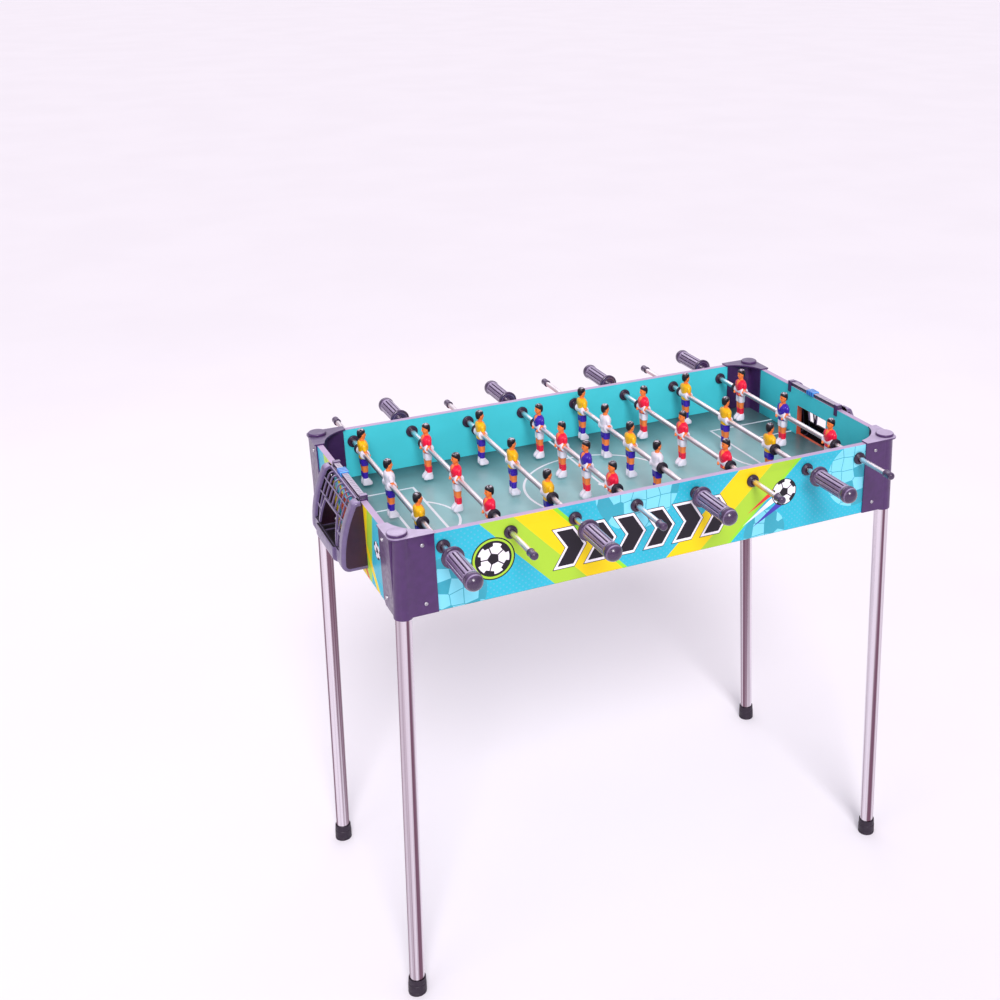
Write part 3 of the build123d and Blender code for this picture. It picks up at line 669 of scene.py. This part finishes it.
def closed_ring(profile, radius, steps):
    """Softened outline that ends on its own first point."""
    ring = soften(profile, radius, steps)
    ring[-1] = ring[0].copy()
    return ring


def pipe(radius, wall, length):
    """Outline of a plain tube."""
    outer, inner = radius, radius - wall
    return [Vector(p) for p in ((inner, 0), (outer, 0), (outer, length), (inner, length), (inner, 0))]


def along_rod(x, y, direction):
    """Local Z runs along the rod, outwards in the given direction."""
    return Matrix.Translation((x, y, ROD_Z)) @ Matrix.Rotation(radians(-90 * direction), 4, "X")


# ---- boards, pitch and brackets
def make_boards():
    for side, name in SIDES:
        refined(f"panel_{name}", f"board_{name}", [long_board_print(side)], 0.35)
    for end, name in ENDS:
        refined(f"panel_{name}", f"board_{name}", [end_board_print(end)], 0.35)
    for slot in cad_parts["playfield"].material_slots:
        slot.material = pitch_paint()


def make_brackets():
    for _, side in SIDES:
        for _, end in ENDS:
            node = f"corner_bracket_{side}_{end}"
            refined(node, f"bracket_{side}_{end}", [BLACK], 0.5)


def make_corner_caps():
    low, high = cad_box("corner_caps")
    height = high.z - low.z
    radius = 15.5
    profile = [(TIP, height), (radius - 2, height), (radius, height - 1.8), (radius, 0), (TIP, 0)]
    bm = bmesh.new()
    for end, side in CORNERS:
        place = Matrix.Translation((end * (high.x - radius), side * (high.y - radius), low.z))
        lathe(bm, place, soften(profile, 1.6), 64)
    finish(bm, "corner_cap_discs", [BLACK], "corner_caps")


def leg_place(end, side, z):
    """Point on a leg's axis at height z, with local Z up along the leg."""
    low, high = cad_box("legs")
    top_x = high.x - LEG_R / cos(LEG_SPLAY) - tan(LEG_SPLAY) * (z - low.z)
    y = high.y - LEG_R
    place = Matrix.Translation((end * top_x, side * y, z))
    return place @ Matrix.Rotation(-end * LEG_SPLAY, 4, "Y")


def make_legs():
    low, high = cad_box("legs")
    shoe = [(TIP, -12), (14.6, -12), (15.5, 0), (15.5, 3), (14.9, 3.6), (14.9, 4.6), (15.5, 5.2)]
    shoe += [(15.3, 18), (14.5, 18.8), (14.5, 20), (15, 20.6), (14.4, 30), (13, 30)]
    shoe += [(12.6, 28.8), (12.6, 2), (TIP, 2)]
    legs = bmesh.new()
    feet = bmesh.new()
    for end, side in CORNERS:
        lathe(legs, leg_place(end, side, low.z), pipe(LEG_R, 1.2, high.z - low.z - 1), 96)
        lathe(feet, leg_place(end, side, 1), soften(shoe, 0.8, 3), 72)
    # the soles are cut level with the floor
    parts = list(feet.verts) + list(feet.edges) + list(feet.faces)
    level = {"plane_co": (0, 0, 0), "plane_no": (0, 0, -1), "clear_outer": True}
    cut = bmesh.ops.bisect_plane(feet, geom=parts, **level)
    rims = [edge for edge in cut["geom_cut"] if isinstance(edge, bmesh.types.BMEdge)]
    bmesh.ops.holes_fill(feet, edges=rims, sides=0)
    finish(legs, "leg_tubes", [CHROME_LEG], "legs")
    finish(feet, "leg_shoes", [DEEP_BLACK], "leg_feet")


# ---- goal boxes
BOX_HALF = 91
BOX_WALL = 2.5
RIM_W = 20
NET_HALF = BOX_HALF - RIM_W
NET_RECESS = 2.6
NET_BAR, NET_BAR_DEPTH = 2.7, 2.2
CROSS_BARS = (-10.5, -32, -56, -80)
POCKET_TOP, POCKET_TOP_HALF, POCKET_BOTTOM_HALF = -33.5, 36, 50
TRAY_TOP, TRAY_HALF, TRAY_OUT = -81.5, 50, 3.5
SHOULDER, CROWN, BELLY, FLOOR_EDGE = (8, 4), (18, -5), (40.5, -97), (28.5, -111)


def spread(start, stop, count):
    return [start + (stop - start) * i / (count - 1) for i in range(count)]


def arc(a, b, c, count):
    """Points on the circle through a, b and c, from a to c."""
    d = 2 * (a[0] * (b[1] - c[1]) + b[0] * (c[1] - a[1]) + c[0] * (a[1] - b[1]))
    squares = [p[0] ** 2 + p[1] ** 2 for p in (a, b, c)]
    x = (squares[0] * (b[1] - c[1]) + squares[1] * (c[1] - a[1]) + squares[2] * (a[1] - b[1])) / d
    y = (squares[0] * (c[0] - b[0]) + squares[1] * (a[0] - c[0]) + squares[2] * (b[0] - a[0])) / d
    radius = hypot(a[0] - x, a[1] - y)
    start, stop = (atan2(p[1] - y, p[0] - x) for p in (a, c))
    return [(x + radius * cos(t), y + radius * sin(t)) for t in spread(start, stop, count)]


def box_profile():
    """Side profile of a goal box: (depth, height) points with outward normals, from the top down."""
    points = [(3, 4)]
    points += arc(SHOULDER, (14.2, 1.3), CROWN, 9)[:-1]
    points += arc(CROWN, (34.5, -51), BELLY, 28)[:-1]
    points += arc(BELLY, (36.9, -106.8), FLOOR_EDGE, 10)
    points.append((0, -111))
    stations = []
    for i, point in enumerate(points):
        before = Vector(points[max(i - 1, 0)])
        after = Vector(points[min(i + 1, len(points) - 1)])
        along = (after - before).normalized()
        stations.append((Vector(point), Vector((-along.y, along.x))))
    return stations


PROFILE = box_profile()


def station_at(height):
    """Point and normal of the net's face at a height above the boards' top edge."""
    for (upper, normal), (lower, next_normal) in zip(PROFILE[1:], PROFILE[2:]):
        if upper.y >= height >= lower.y:
            part = (upper.y - height) / max(upper.y - lower.y, 1e-6)
            return upper.lerp(lower, part), normal.lerp(next_normal, part).normalized()
    return PROFILE[-2]


def stations_between(top, bottom):
    """Stations of the curved face from one height down to another."""
    inside = [s for s in PROFILE[2:-1] if top > s[0].y > bottom]
    return [station_at(top)] + inside + [station_at(bottom)]


def beyond(end, depth, y, height):
    """Point depth outside an end board, at a height above the boards' top edge."""
    return Vector((end * (HALF_L + depth), y, BOARD_TOP + height))


def sweep(bm, end, stations, section, slot, lift=None):
    """Carry a section of (y, inset) along stations; lift scales the insets station by station."""
    rings = []
    for i, (point, normal) in enumerate(stations):
        scale = 1 if lift is None else lift[i]
        ring = []
        for y, inset in section:
            place = point - normal * inset * scale
            ring.append(beyond(end, place.x, y, place.y))
        rings.append(ring)
    skin_rings(bm, rings, slot)


def prism(bm, end, outline, y_from, y_to, slot):
    """Plate drawn in the plane of depth and height, with its thickness along Y."""
    rings = [[beyond(end, depth, y, height) for depth, height in outline] for y in (y_from, y_to)]
    skin_rings(bm, rings, slot)


def bar(bm, end, path, width, inset, depth, slot):
    """Bar of rectangular section on the curved face; path lists (y, height)."""
    rings = []
    for i, (y, height) in enumerate(path):
        point, normal = station_at(height)
        ahead = path[min(i + 1, len(path) - 1)]
        behind = path[max(i - 1, 0)]
        a = station_at(ahead[1])[0]
        b = station_at(behind[1])[0]
        run = Vector((a.x - b.x, ahead[0] - behind[0], a.y - b.y))
        out = Vector((normal.x, 0, normal.y))
        across = out.cross(run).normalized() * (width / 2)
        here = Vector((point.x, y, point.y)) - out * inset
        ring = [here + across, here - across, here - across - out * depth, here + across - out * depth]
        rings.append([beyond(end, *point) for point in ring])
    skin_rings(bm, rings, slot)


def pocket_half(height):
    """Half width of the ball pocket at a height."""
    part = (POCKET_TOP - height) / (POCKET_TOP - CROSS_BARS[-1])
    return POCKET_TOP_HALF + (POCKET_BOTTOM_HALF - POCKET_TOP_HALF) * part


def make_goal_box(end, name):
    bm = bmesh.new()
    dark, rim = 0, 1
    for side in (-1, 1):
        # rounded band beside the net, from the board over the top and under the floor
        outer = [(91, 6.5), (91, 3.9), (90.5, 2.3), (89.5, 1), (87.9, 0.25), (85.8, 0), (72.4, 0)]
        inner = [(71.3, 0.5), (71, 1.4), (71, 5.2), (73.4, 5.2), (73.4, 2.8), (86.4, 2.8)]
        inner += [(88.4, 4.6), (88.4, 6.5)]
        sweep(bm, end, PROFILE, [(side * y, inset) for y, inset in outer + inner], rim)
        cheek = [(point - normal * 4.2)[:] for point, normal in PROFILE[1:]]
        cheek = [(0, -2), (3.2, -2)] + cheek
        prism(bm, end, cheek, side * (BOX_HALF - 0.15), side * (BOX_HALF - BOX_WALL), dark)
        for height in (-18, -96):
            ear = [(0, height - 7), (BOX_WALL, height - 7), (BOX_WALL, height + 7), (0, height + 7)]
            prism(bm, end, ear, side * 77, side * (BOX_HALF - BOX_WALL), dark)
    ledge = [(0, -1), (3.2, -1), (3.2, -3.5), (0, -3.5)]
    prism(bm, end, ledge, -BOX_HALF + 0.2, BOX_HALF - 0.2, dark)
    lip = [(3, -3.5), (3, 4), (5.6, 4), (5.6, -3.5)]
    prism(bm, end, lip, -BOX_HALF + 2, BOX_HALF - 2, rim)
    # wall below the net, and the ball tray standing proud of it
    wall = [(-NET_HALF - 1, 0.6), (NET_HALF + 1, 0.6), (NET_HALF + 1, 3), (-NET_HALF - 1, 3)]
    below = [s for s in PROFILE if s[0].y < CROSS_BARS[-1]]
    sweep(bm, end, [station_at(CROSS_BARS[-1])] + below, wall, rim)
    tray = [(-TRAY_HALF, -0.2), (-TRAY_HALF, 0.66 * -TRAY_OUT), (-TRAY_HALF + 1.4, -TRAY_OUT)]
    tray += [(-y, inset) for y, inset in tray[::-1]]
    stations = stations_between(TRAY_TOP, -110.6)
    rounding = [min(1, 0.8 + 0.1 * i, max(0.1, (s[0].y + 111) / 9)) for i, s in enumerate(stations)]
    sweep(bm, end, stations, tray + [(TRAY_HALF, 1.2), (-TRAY_HALF, 1.2)], rim, rounding)
    make_net(bm, end, rim)
    bmesh.ops.recalc_face_normals(bm, faces=bm.faces)
    for face in bm.faces:
        inward = face.normal.x * end < -0.25
        tray_floor = face.normal.z > 0.6 and face.calc_center_median().z < BOARD_TOP - 60
        if face.material_index == rim and (inward or tray_floor):
            face.material_index = 2
    node = f"goal_box_{name}"
    finish(bm, f"goal_box_shell_{name}", [CHEEK, RIM, SHADE], node, 0.45)


def make_net(bm, end, slot):
    """Curved net of thin bars round the ball pocket."""
    columns = 8
    for i in range(1, columns):
        y = -NET_HALF + i * 2 * NET_HALF / columns
        stop = CROSS_BARS[-1]
        if abs(y) < POCKET_TOP_HALF:
            stop = POCKET_TOP
        elif abs(y) < POCKET_BOTTOM_HALF:
            part = (abs(y) - POCKET_TOP_HALF) / (POCKET_BOTTOM_HALF - POCKET_TOP_HALF)
            stop = POCKET_TOP + (CROSS_BARS[-1] - POCKET_TOP) * part
        stations = [s for s in PROFILE[:-1] if s[0].y > stop] + [station_at(stop)]
        half, low = NET_BAR / 2, NET_RECESS + NET_BAR_DEPTH
        section = [(y - half, NET_RECESS), (y + half, NET_RECESS), (y + half, low), (y - half, low)]
        sweep(bm, end, stations, section, slot)
    for height in CROSS_BARS:
        reach = NET_HALF + 1
        spans = [(-reach, reach)]
        if height < POCKET_TOP:
            spans = [(-reach, -pocket_half(height)), (pocket_half(height), reach)]
        for start, stop in spans:
            bar(bm, end, [(start, height), (stop, height)], NET_BAR, NET_RECESS, NET_BAR_DEPTH, slot)
    frame_w, frame_inset, frame_depth = 3.6, 1.8, 3.2
    top = [(-POCKET_TOP_HALF - 1, POCKET_TOP), (POCKET_TOP_HALF + 1, POCKET_TOP)]
    bar(bm, end, top, frame_w, frame_inset, frame_depth, slot)
    for side in (-1, 1):
        path = [(side * pocket_half(h), h) for h in spread(POCKET_TOP, CROSS_BARS[-1], 12)]
        bar(bm, end, path, frame_w, frame_inset, frame_depth, slot)


# ---- score bars
def make_score_bars():
    refined("score_bars", "score_rails", [score_bar_paint()], 0)
    refined("score_bar_holders", "score_rail_holders", [BLACK], 0.6)
    for _, name in ENDS:
        low, high = cad_box(f"score_bead_{name}")
        mid = (low + high) / 2
        size = high - low
        bm = bmesh.new()
        wall = 1.8
        half_w, half_h = size.x / 2, size.z / 2
        outer = [(-half_w, -half_h), (half_w, -half_h), (half_w, half_h), (-half_w, half_h)]
        inner = [(x * (half_w - wall) / half_w, z * (half_h - wall) / half_h) for x, z in outer]
        rings = []
        loop = ((inner, low.y), (outer, low.y), (outer, high.y), (inner, high.y), (inner, low.y))
        for outline, y in loop:
            rings.append([Vector((mid.x + x, y, mid.z + z)) for x, z in outline])
        skin_rings(bm, rings, 0, True)
        for offset in (-6, 0, 6):
            rib = []
            for y in (mid.y + offset - 1.3, mid.y + offset + 1.3):
                rib.append([Vector((mid.x + x * 1.04, y, mid.z + z * 1.06)) for x, z in outer])
            skin_rings(bm, rib, 1)
        paints = [BEAD, BEAD_DARK]
        node = f"score_bead_{name}"
        finish(bm, f"score_marker_{name}", paints, node, 0.5, f"bead_{name}")


# ---- bushings and screws
def make_bushings():
    hole = ROD_R + 0.06
    bm = bmesh.new()
    outside = [(hole, 4.5), (6.2, 6.3), (7.4, 6.3), (8.2, 5.2), (10.2, 4.2), (10.8, 2.6), (10.8, 0), (7, 0)]
    inside = [(7, 0), (10.8, 0), (10.8, -2), (9.6, -3.6), (6.4, -4), (hole, -3.2)]
    inside = [(radius, along - BOARD_T) for radius, along in inside] + [outside[0]]
    ring = closed_ring(outside + inside, 0.9, 3)
    for rod in RODS:
        for side, _ in SIDES:
            place = along_rod(rod.x, side * HALF_W, side)
            lathe(bm, place, ring, 48)
    finish(bm, "rod_guides", [BUSHING], "rod_bushings")


def screw_head(bm, place):
    """Pan head with a cross recess; local Z points out of the board."""
    segments = 32
    rise, sink = 1.9, 1
    arm, half = 1.9, 0.42
    rings = []
    for radius, along in ((3.1, -0.3), (3.1, 0.7), (2.9, 1.25), (2.5, 1.65), (2.05, rise)):
        rings.append([place @ Vector((radius * c, radius * s, along)) for c, s in circle(segments)])
    edge = skin_rings(bm, rings, caps=False)[-1]
    corner = []
    quarter = [(arm, half), (half, half), (half, arm)]
    for _ in range(4):
        corner += quarter
        quarter = [(-y, x) for x, y in quarter]
    upper = [bm.verts.new(place @ Vector((x, y, rise))) for x, y in corner]
    lower = [bm.verts.new(place @ Vector((x * 0.8, y * 0.8, rise - sink))) for x, y in corner]
    rim = [bm.edges.get((edge[i], edge[(i + 1) % segments])) for i in range(segments)]
    cross = [bm.edges.new((upper[i], upper[(i + 1) % 12])) for i in range(12)]
    bmesh.ops.triangle_fill(bm, use_beauty=True, edges=rim + cross)
    for i in range(12):
        j = (i + 1) % 12
        bm.faces.new((upper[i], upper[j], lower[j], lower[i]))
    bm.faces.new(lower)


def make_screws():
    """Two screws in each bracket flange and one in each goal box ear, all turned differently."""
    bm = bmesh.new()
    flange = 2.5
    inset = 43
    count = 0
    for end, side in CORNERS:
        to_end = Matrix.Rotation(radians(90 * end), 4, "Y")
        to_side = Matrix.Rotation(radians(-90 * side), 4, "X")
        spots = []
        for drop in (14, 110):
            spots.append((to_side, end * (HALF_L - inset), side * (HALF_W + flange), drop))
            spots.append((to_end, end * (HALF_L + flange), side * (HALF_W - inset), drop))
        for drop in (18, 96):
            spots.append((to_end, end * (HALF_L + flange), side * 84, drop))
        for outward, x, y, drop in spots:
            spin = Matrix.Rotation(radians(37 * count), 4, "Z")
            screw_head(bm, Matrix.Translation((x, y, BOARD_TOP - drop)) @ outward @ spin)
            count += 1
    finish(bm, "screw_heads", [ZINC], "board_screws", sharp=30)


# ---- rods
FLUTES = 12
RIB_START, RIB_END = 9.5, 77


def flute(radius, along, angle):
    """Radius of the ribbed grip: narrow grooves that run out before the collar and the knob."""
    run_out = 4
    if along < RIB_START or along > RIB_END or radius < 8:
        return radius
    ends = min(1, (along - RIB_START) / run_out, (RIB_END - along) / run_out)
    ends = (ends * (2 - ends)) ** 0.5
    phase = (angle * FLUTES / (2 * pi)) % 1
    groove = max(0, 1 - abs(phase - 0.5) / 0.24)
    groove = groove * groove * (3 - 2 * groove)
    return radius - 2.4 * ends * groove


def make_handle(rod):
    low, high = rod.box("handle")
    base = high.y if rod.toward < 0 else low.y
    length = high.y - low.y
    knob = length - KNOB_R
    collar = [(15.4, 0), (COLLAR_R, 1.4), (COLLAR_R, 4.6), (16.4, 6.6)]
    collar += [(GRIP_R - 0.4, 7.6), (GRIP_R, 9)]
    profile = [Vector((ROD_R, 0.6)), Vector((7.5, 0))] + soften(collar, 1.2)
    steps = 60
    profile += [Vector((GRIP_R, RIB_START + (RIB_END - RIB_START) * i / steps)) for i in range(steps + 1)]
    profile += [Vector((GRIP_R - 0.5, RIB_END + 1.4)), Vector((GRIP_R - 0.3, RIB_END + 2.2))]
    turns = 16
    for i in range(turns + 1):
        angle = radians(-22 + 111.6 * i / turns)
        profile.append(Vector((KNOB_R * cos(angle), knob + KNOB_R * sin(angle))))
    bm = bmesh.new()
    lathe(bm, along_rod(rod.x, base, rod.toward), profile, FLUTES * 14, shape=flute)
    rod.finish(bm, "grip", [GRIP], "handle_plastic", "handle", sharp=50)


def make_end_cap(rod):
    low, high = rod.box("end_cap")
    tip = low.y if rod.toward > 0 else high.y
    outward = -rod.toward
    length = high.y - low.y
    place = along_rod(rod.x, tip - outward * length, outward)
    profile = [(ROD_R + 0.05, 1), (ROD_R + 0.4, 0), (6.2, 0), (6.7, 0.8), (6.7, 2.6), (6.1, 3.4), (6.2, 8)]
    profile += [(6.5, length - 7), (6.3, length - 3.6), (4.9, length - 1.2), (2.6, length - 0.2)]
    profile.append((TIP, length))
    bm = bmesh.new()
    lathe(bm, place, soften(profile, 0.9, 3), 48)
    rod.finish(bm, "thimble", [GRIP], "soft_black_plastic", "end_cap")


def make_tube(rod):
    low, high = rod.box("tube")
    bm = bmesh.new()
    lathe(bm, along_rod(rod.x, low.y, 1), pipe(ROD_R, 0.8, high.y - low.y), 64)
    rod.finish(bm, "shaft", [CHROME_ROD], "chromed_rod", "tube")


def make_bumpers(rod):
    low, high = rod.box("bumpers")
    hole = ROD_R + 0.06
    profile = [(hole, 0.6), (5.4, 0), (8.8, 0), (10, 1.2), (10, 2.8), (9.5, 3.5), (10, 4.2)]
    profile += [(10, 5.8), (8.8, 7), (5.4, 7), (hole, 6.4), (hole, 0.6)]
    ring = closed_ring(profile, 0.7, 3)
    bm = bmesh.new()
    for direction, start in ((1, high.y - 7), (-1, low.y + 7)):
        lathe(bm, along_rod(rod.x, start, direction), ring, 48)
    rod.finish(bm, "rings", [DEEP_BLACK], "bumper_rubber", "bumpers", f"{rod.name}_slide")


# ---- players
def oval(place, centre, half_x, half_y, power=2.4, count=28):
    """Ring of points on a rounded rectangle in a horizontal plane."""
    ring = []
    for c, s in circle(count):
        x = half_x * abs(c) ** (2 / power) * (1 if c > 0 else -1)
        y = half_y * abs(s) ** (2 / power) * (1 if s > 0 else -1)
        ring.append(place @ Vector((centre[0] + x, centre[1] + y, centre[2])))
    return ring


def form(bm, place, rows, slot, steps=4, power=2.4, across=0):
    """Closed form from rows of (height, forward, half depth, half width)."""
    dense = smooth_rows(rows, steps)
    rings = [oval(place, (x, across, z), hx, hy, power) for z, x, hx, hy in dense]
    skin_rings(bm, rings, slot)


def egg(bm, place, centre, radii, slot, rings=9, count=20):
    """Small ellipsoid."""
    rows = []
    for i in range(rings):
        angle = -pi / 2 + pi * (i + 0.35) / (rings - 0.3)
        ring_centre = (centre[0], centre[1], centre[2] + radii[2] * sin(angle))
        rows.append(oval(place, ring_centre, radii[0] * cos(angle), radii[1] * cos(angle), 2, count))
    skin_rings(bm, rows, slot)


def limb(bm, place, points, radii, slot, count=14):
    """Round limb through points."""
    dense = smooth_rows([(*p, r) for p, r in zip(points, radii)], 4)
    rings = []
    for i, (x, y, z, radius) in enumerate(dense):
        before = Vector(dense[max(i - 1, 0)][:3])
        after = Vector(dense[min(i + 1, len(dense) - 1)][:3])
        turn = (after - before).to_track_quat("Z", "Y").to_matrix()
        ring = [turn @ Vector((radius * c, radius * s, 0)) for c, s in circle(count)]
        rings.append([place @ (Vector((x, y, z)) + offset) for offset in ring])
    skin_rings(bm, rings, slot)


def make_player(bm, place, shirt, shorts, socks):
    """One moulded player, hub on the rod, looking along local +X."""
    part = partial(form, bm, place)
    # boots, socks, legs and shorts, a pair each
    boot = [(-59, 2.2, 7.4, 3.7), (-58.4, 2.3, 8.4, 4.5), (-55, 2.2, 8.6, 4.8), (-51.5, 1.2, 7.4, 4.6)]
    boot += [(-48.6, 0.1, 5.4, 4.5), (-46.8, -0.2, 5, 4.4), (-46.4, -0.2, 4.4, 4)]
    sock = [(-47.5, -0.2, 4.3, 3.8), (-42, -0.5, 4.9, 4.1), (-37.2, -0.1, 4.9, 4.2)]
    sock += [(-36.9, -0.1, 5.3, 4.5), (-35.2, 0, 5.3, 4.5), (-34.9, 0, 4.6, 4)]
    leg = [(-36, 0, 4.5, 3.9), (-32, 0.4, 4.9, 4.2), (-26, 0.2, 5.3, 4.5), (-19, 0, 5.6, 4.7)]
    trouser = [(-22.4, 0.2, 5.4, 4.5), (-21.8, 0.2, 6.2, 5.1), (-17, 0.1, 6.4, 5.2), (-9, 0, 6.4, 5)]
    for side in (-1, 1):
        part(boot, SLOT_WHITE, 3, 2.9, side * 4.5)
        part(sock, socks, 3, 2.3, side * 3.9)
        part(leg, SLOT_SKIN, 3, 2.3, side * 3.9)
        part(trouser, shorts, 3, 2.5, side * 4.5)
    part([(-17, 0, 5.8, 6.5), (-12, 0, 6.6, 9.3), (-7.5, 0, 6.5, 9.6), (-6, 0, 5.9, 9)], shorts, 3, 2.6)
    # shirt, open neck and arms
    torso = [(-9.6, 0, 6.6, 9.6), (-9, 0, 7.3, 10.2), (-4, 0.1, 7.2, 10.2), (3, 0.4, 7.6, 10.8)]
    torso += [(10, 0.8, 8.3, 12.4), (15.5, 0.4, 8.2, 13.2), (19, -0.1, 6.8, 11.6)]
    torso += [(21.2, -0.4, 5.2, 7.6), (22, -0.4, 4, 4.8)]
    part(torso, shirt, 4, 2.5)
    chest = [(11, 8.7, 0.5, 0.4), (15, 8.1, 0.8, 2.2), (19, 6.3, 1.2, 3.8), (21.8, 4.1, 1.2, 4.2)]
    part(chest, SLOT_SKIN, 4, 2.2)
    for side in (-1, 1):
        sleeve = [(-0.4, side * 10.4, 17), (-0.6, side * 12.8, 14.2), (-0.2, side * 13.4, 7.6)]
        limb(bm, place, sleeve, [3.4, 4, 3.9], shirt)
        arm = [(-0.2, side * 13.2, 8.4), (1.2, side * 13.2, 3.6)]
        arm += [(5.2, side * 11.8, -0.6), (7.6, side * 10, -3.4)]
        limb(bm, place, arm, [3, 3, 2.6, 2.1], SLOT_SKIN)
        egg(bm, place, (8.2, side * 9.4, -4.4), (2.4, 2, 2.5), SLOT_SKIN)
    # neck, head, hair and a plain face
    part([(19.5, -0.3, 4.4, 5), (22, -0.2, 3.9, 4.1), (27, 0, 3.9, 4)], SLOT_SKIN, 3, 2.1)
    head = [(24.6, 2, 2.6, 2.3), (25.4, 1.6, 4, 3.6), (28, 0.7, 5.6, 5), (31.5, 0.2, 6.4, 5.8)]
    head += [(35, 0, 6.7, 6.1), (38, -0.2, 6.3, 5.8), (40.6, -0.3, 4.9, 4.6), (41.8, -0.3, 3, 2.8)]
    part(head, SLOT_SKIN, 4, 2.15)
    hair = [(27.5, -4.2, 2.2, 3.4), (30, -3.1, 4.2, 5.4), (33.5, -1.9, 5.8, 6.5), (37, -0.7, 7, 6.8)]
    hair += [(40, -0.4, 6.4, 6.1), (42, -0.4, 4.6, 4.4), (42.9, -0.4, 2.3, 2.2)]
    part(hair, SLOT_HAIR, 4, 2.15)
    egg(bm, place, (6.6, 0, 31), (1.5, 1.2, 1.8), SLOT_SKIN)
    egg(bm, place, (5.6, 0, 28.1), (0.9, 1.7, 0.5), SLOT_LIPS)
    for side in (-1, 1):
        egg(bm, place, (0, side * 6.1, 32), (1.4, 0.9, 2), SLOT_SKIN)
        egg(bm, place, (5.7, side * 2.4, 33), (0.75, 1, 0.65), SLOT_INK)
        egg(bm, place, (5.8, side * 2.5, 34.7), (0.75, 1.5, 0.32), SLOT_INK)
    # hub: a round boss across the waist, with a shoulder at each end
    hole = ROD_R + 0.04
    boss = [(hole, -14), (7.6, -14), (8.5, -13), (8.5, -10.6), (7.8, -9.8), (7.8, 9.8)]
    boss += [(8.5, 10.6), (8.5, 13), (7.6, 14), (hole, 14), (hole, -14)]
    lathe(bm, place @ Matrix.Rotation(radians(-90), 4, "X"), closed_ring(boss, 0.8, 3), 40, SLOT_WHITE)


SHIRTS = {
    1: (SLOT_YELLOW, SLOT_WHITE, SLOT_YELLOW),
    4: (SLOT_RED, SLOT_BLUE, SLOT_RED, SLOT_BLUE),
    5: (SLOT_WHITE, SLOT_YELLOW, SLOT_WHITE, SLOT_YELLOW),
    8: (SLOT_RED, SLOT_BLUE, SLOT_RED),
}


def make_players(rod, number):
    yellow_team = rod.toward < 0
    plain = (SLOT_YELLOW if yellow_team else SLOT_RED,) * rod.count
    shirts = SHIRTS.get(number, plain)
    shorts, socks = (SLOT_BLUE, SLOT_BLUE) if yellow_team else (SLOT_WHITE, SLOT_RED)
    bm = bmesh.new()
    span = 300
    for i, shirt in enumerate(shirts):
        y = rod.shift - span / 2 + span * i / (rod.count - 1)
        place = Matrix.Translation((rod.x, y, ROD_Z)) @ Matrix.Rotation(0 if yellow_team else pi, 4, "Z")
        make_player(bm, place, shirt, shorts, socks)
    team = "yellow" if yellow_team else "red"
    rod.finish(bm, "players", FIGURE_MATERIALS, f"figure_{team}_team", "figures")


def make_rods():
    for number, rod in enumerate(RODS, 1):
        make_tube(rod)
        make_handle(rod)
        make_end_cap(rod)
        make_bumpers(rod)
        make_players(rod, number)


# ---- floor, light and camera
def make_stage():
    floor = Paint("studio_floor", roughness=0.75)
    floor.colour(floor.mottle((0.93, 0.9, 0.94), 700, 0.015))
    floor.bump(floor.noise(6, 2), 0.02)
    mesh = bpy.data.meshes.new("studio_floor")
    reach = 80
    corners = [(-reach, -reach, 0), (reach, -reach, 0), (reach, reach, 0), (-reach, reach, 0)]
    mesh.from_pydata(corners, [], [(0, 1, 2, 3)])
    mesh.materials.append(floor.material)
    add_object("studio_floor", mesh)
    world = bpy.data.worlds.new("studio")
    world.use_nodes = True
    world.node_tree.nodes["Background"].inputs[0].default_value = (0.97, 0.91, 1, 1)
    world.node_tree.nodes["Background"].inputs[1].default_value = 0.62
    bpy.context.scene.world = world
    bpy.context.scene.view_settings.view_transform = "Standard"


def area_light(name, location, target, size, energy, tint):
    light = bpy.data.lights.new(name, "AREA")
    light.shape = "RECTANGLE"
    light.size, light.size_y = size
    light.energy = energy
    light.color = tint
    lamp = add_object(name, light)
    lamp.location = location
    lamp.rotation_euler = (Vector(target) - Vector(location)).to_track_quat("-Z", "Y").to_euler()


def make_lights():
    table = (0, 0, BOARD_TOP * MM)
    above = BOARD_TOP * MM + 2
    area_light("fill", (-2.4, -1.2, above - 0.8), table, (1.6, 1.6), 10, (0.97, 0.95, 1))
    area_light("back", (0.4, 2.2, above - 0.4), table, (2.4, 0.8), 10, (1, 0.96, 1))
    light = bpy.data.lights.new("key", "SUN")
    light.energy = 2.2
    light.angle = radians(22)
    light.color = (1, 0.965, 0.985)
    add_object("key", light).rotation_euler = (radians(50), 0, radians(-16))


def make_camera():
    azimuth, elevation, roll = radians(-27.324), radians(23.583), radians(0.088)
    forward = Vector((-sin(azimuth) * cos(elevation), cos(azimuth) * cos(elevation), -sin(elevation)))
    level = Vector((cos(azimuth), sin(azimuth), 0))
    rise = level.cross(forward)
    right = level * cos(roll) + rise * sin(roll)
    up = rise * cos(roll) - level * sin(roll)
    lens = bpy.data.cameras.new("camera")
    lens.sensor_width = 36
    lens.lens = 47.57
    lens.shift_x = -0.1428
    lens.shift_y = -0.0137
    camera = add_object("camera", lens)
    axes = Matrix((right, up, -forward)).transposed().to_4x4()
    camera.matrix_world = Matrix.Translation((-0.9083, -1.9152, BOARD_TOP * MM + 0.8304)) @ axes
    bpy.context.scene.camera = camera


make_camera()
make_lights()
make_stage()
make_boards()
make_brackets()
make_corner_caps()
make_legs()
for sign, end_name in ENDS:
    make_goal_box(sign, end_name)
make_score_bars()
make_bushings()
make_screws()
make_rods()
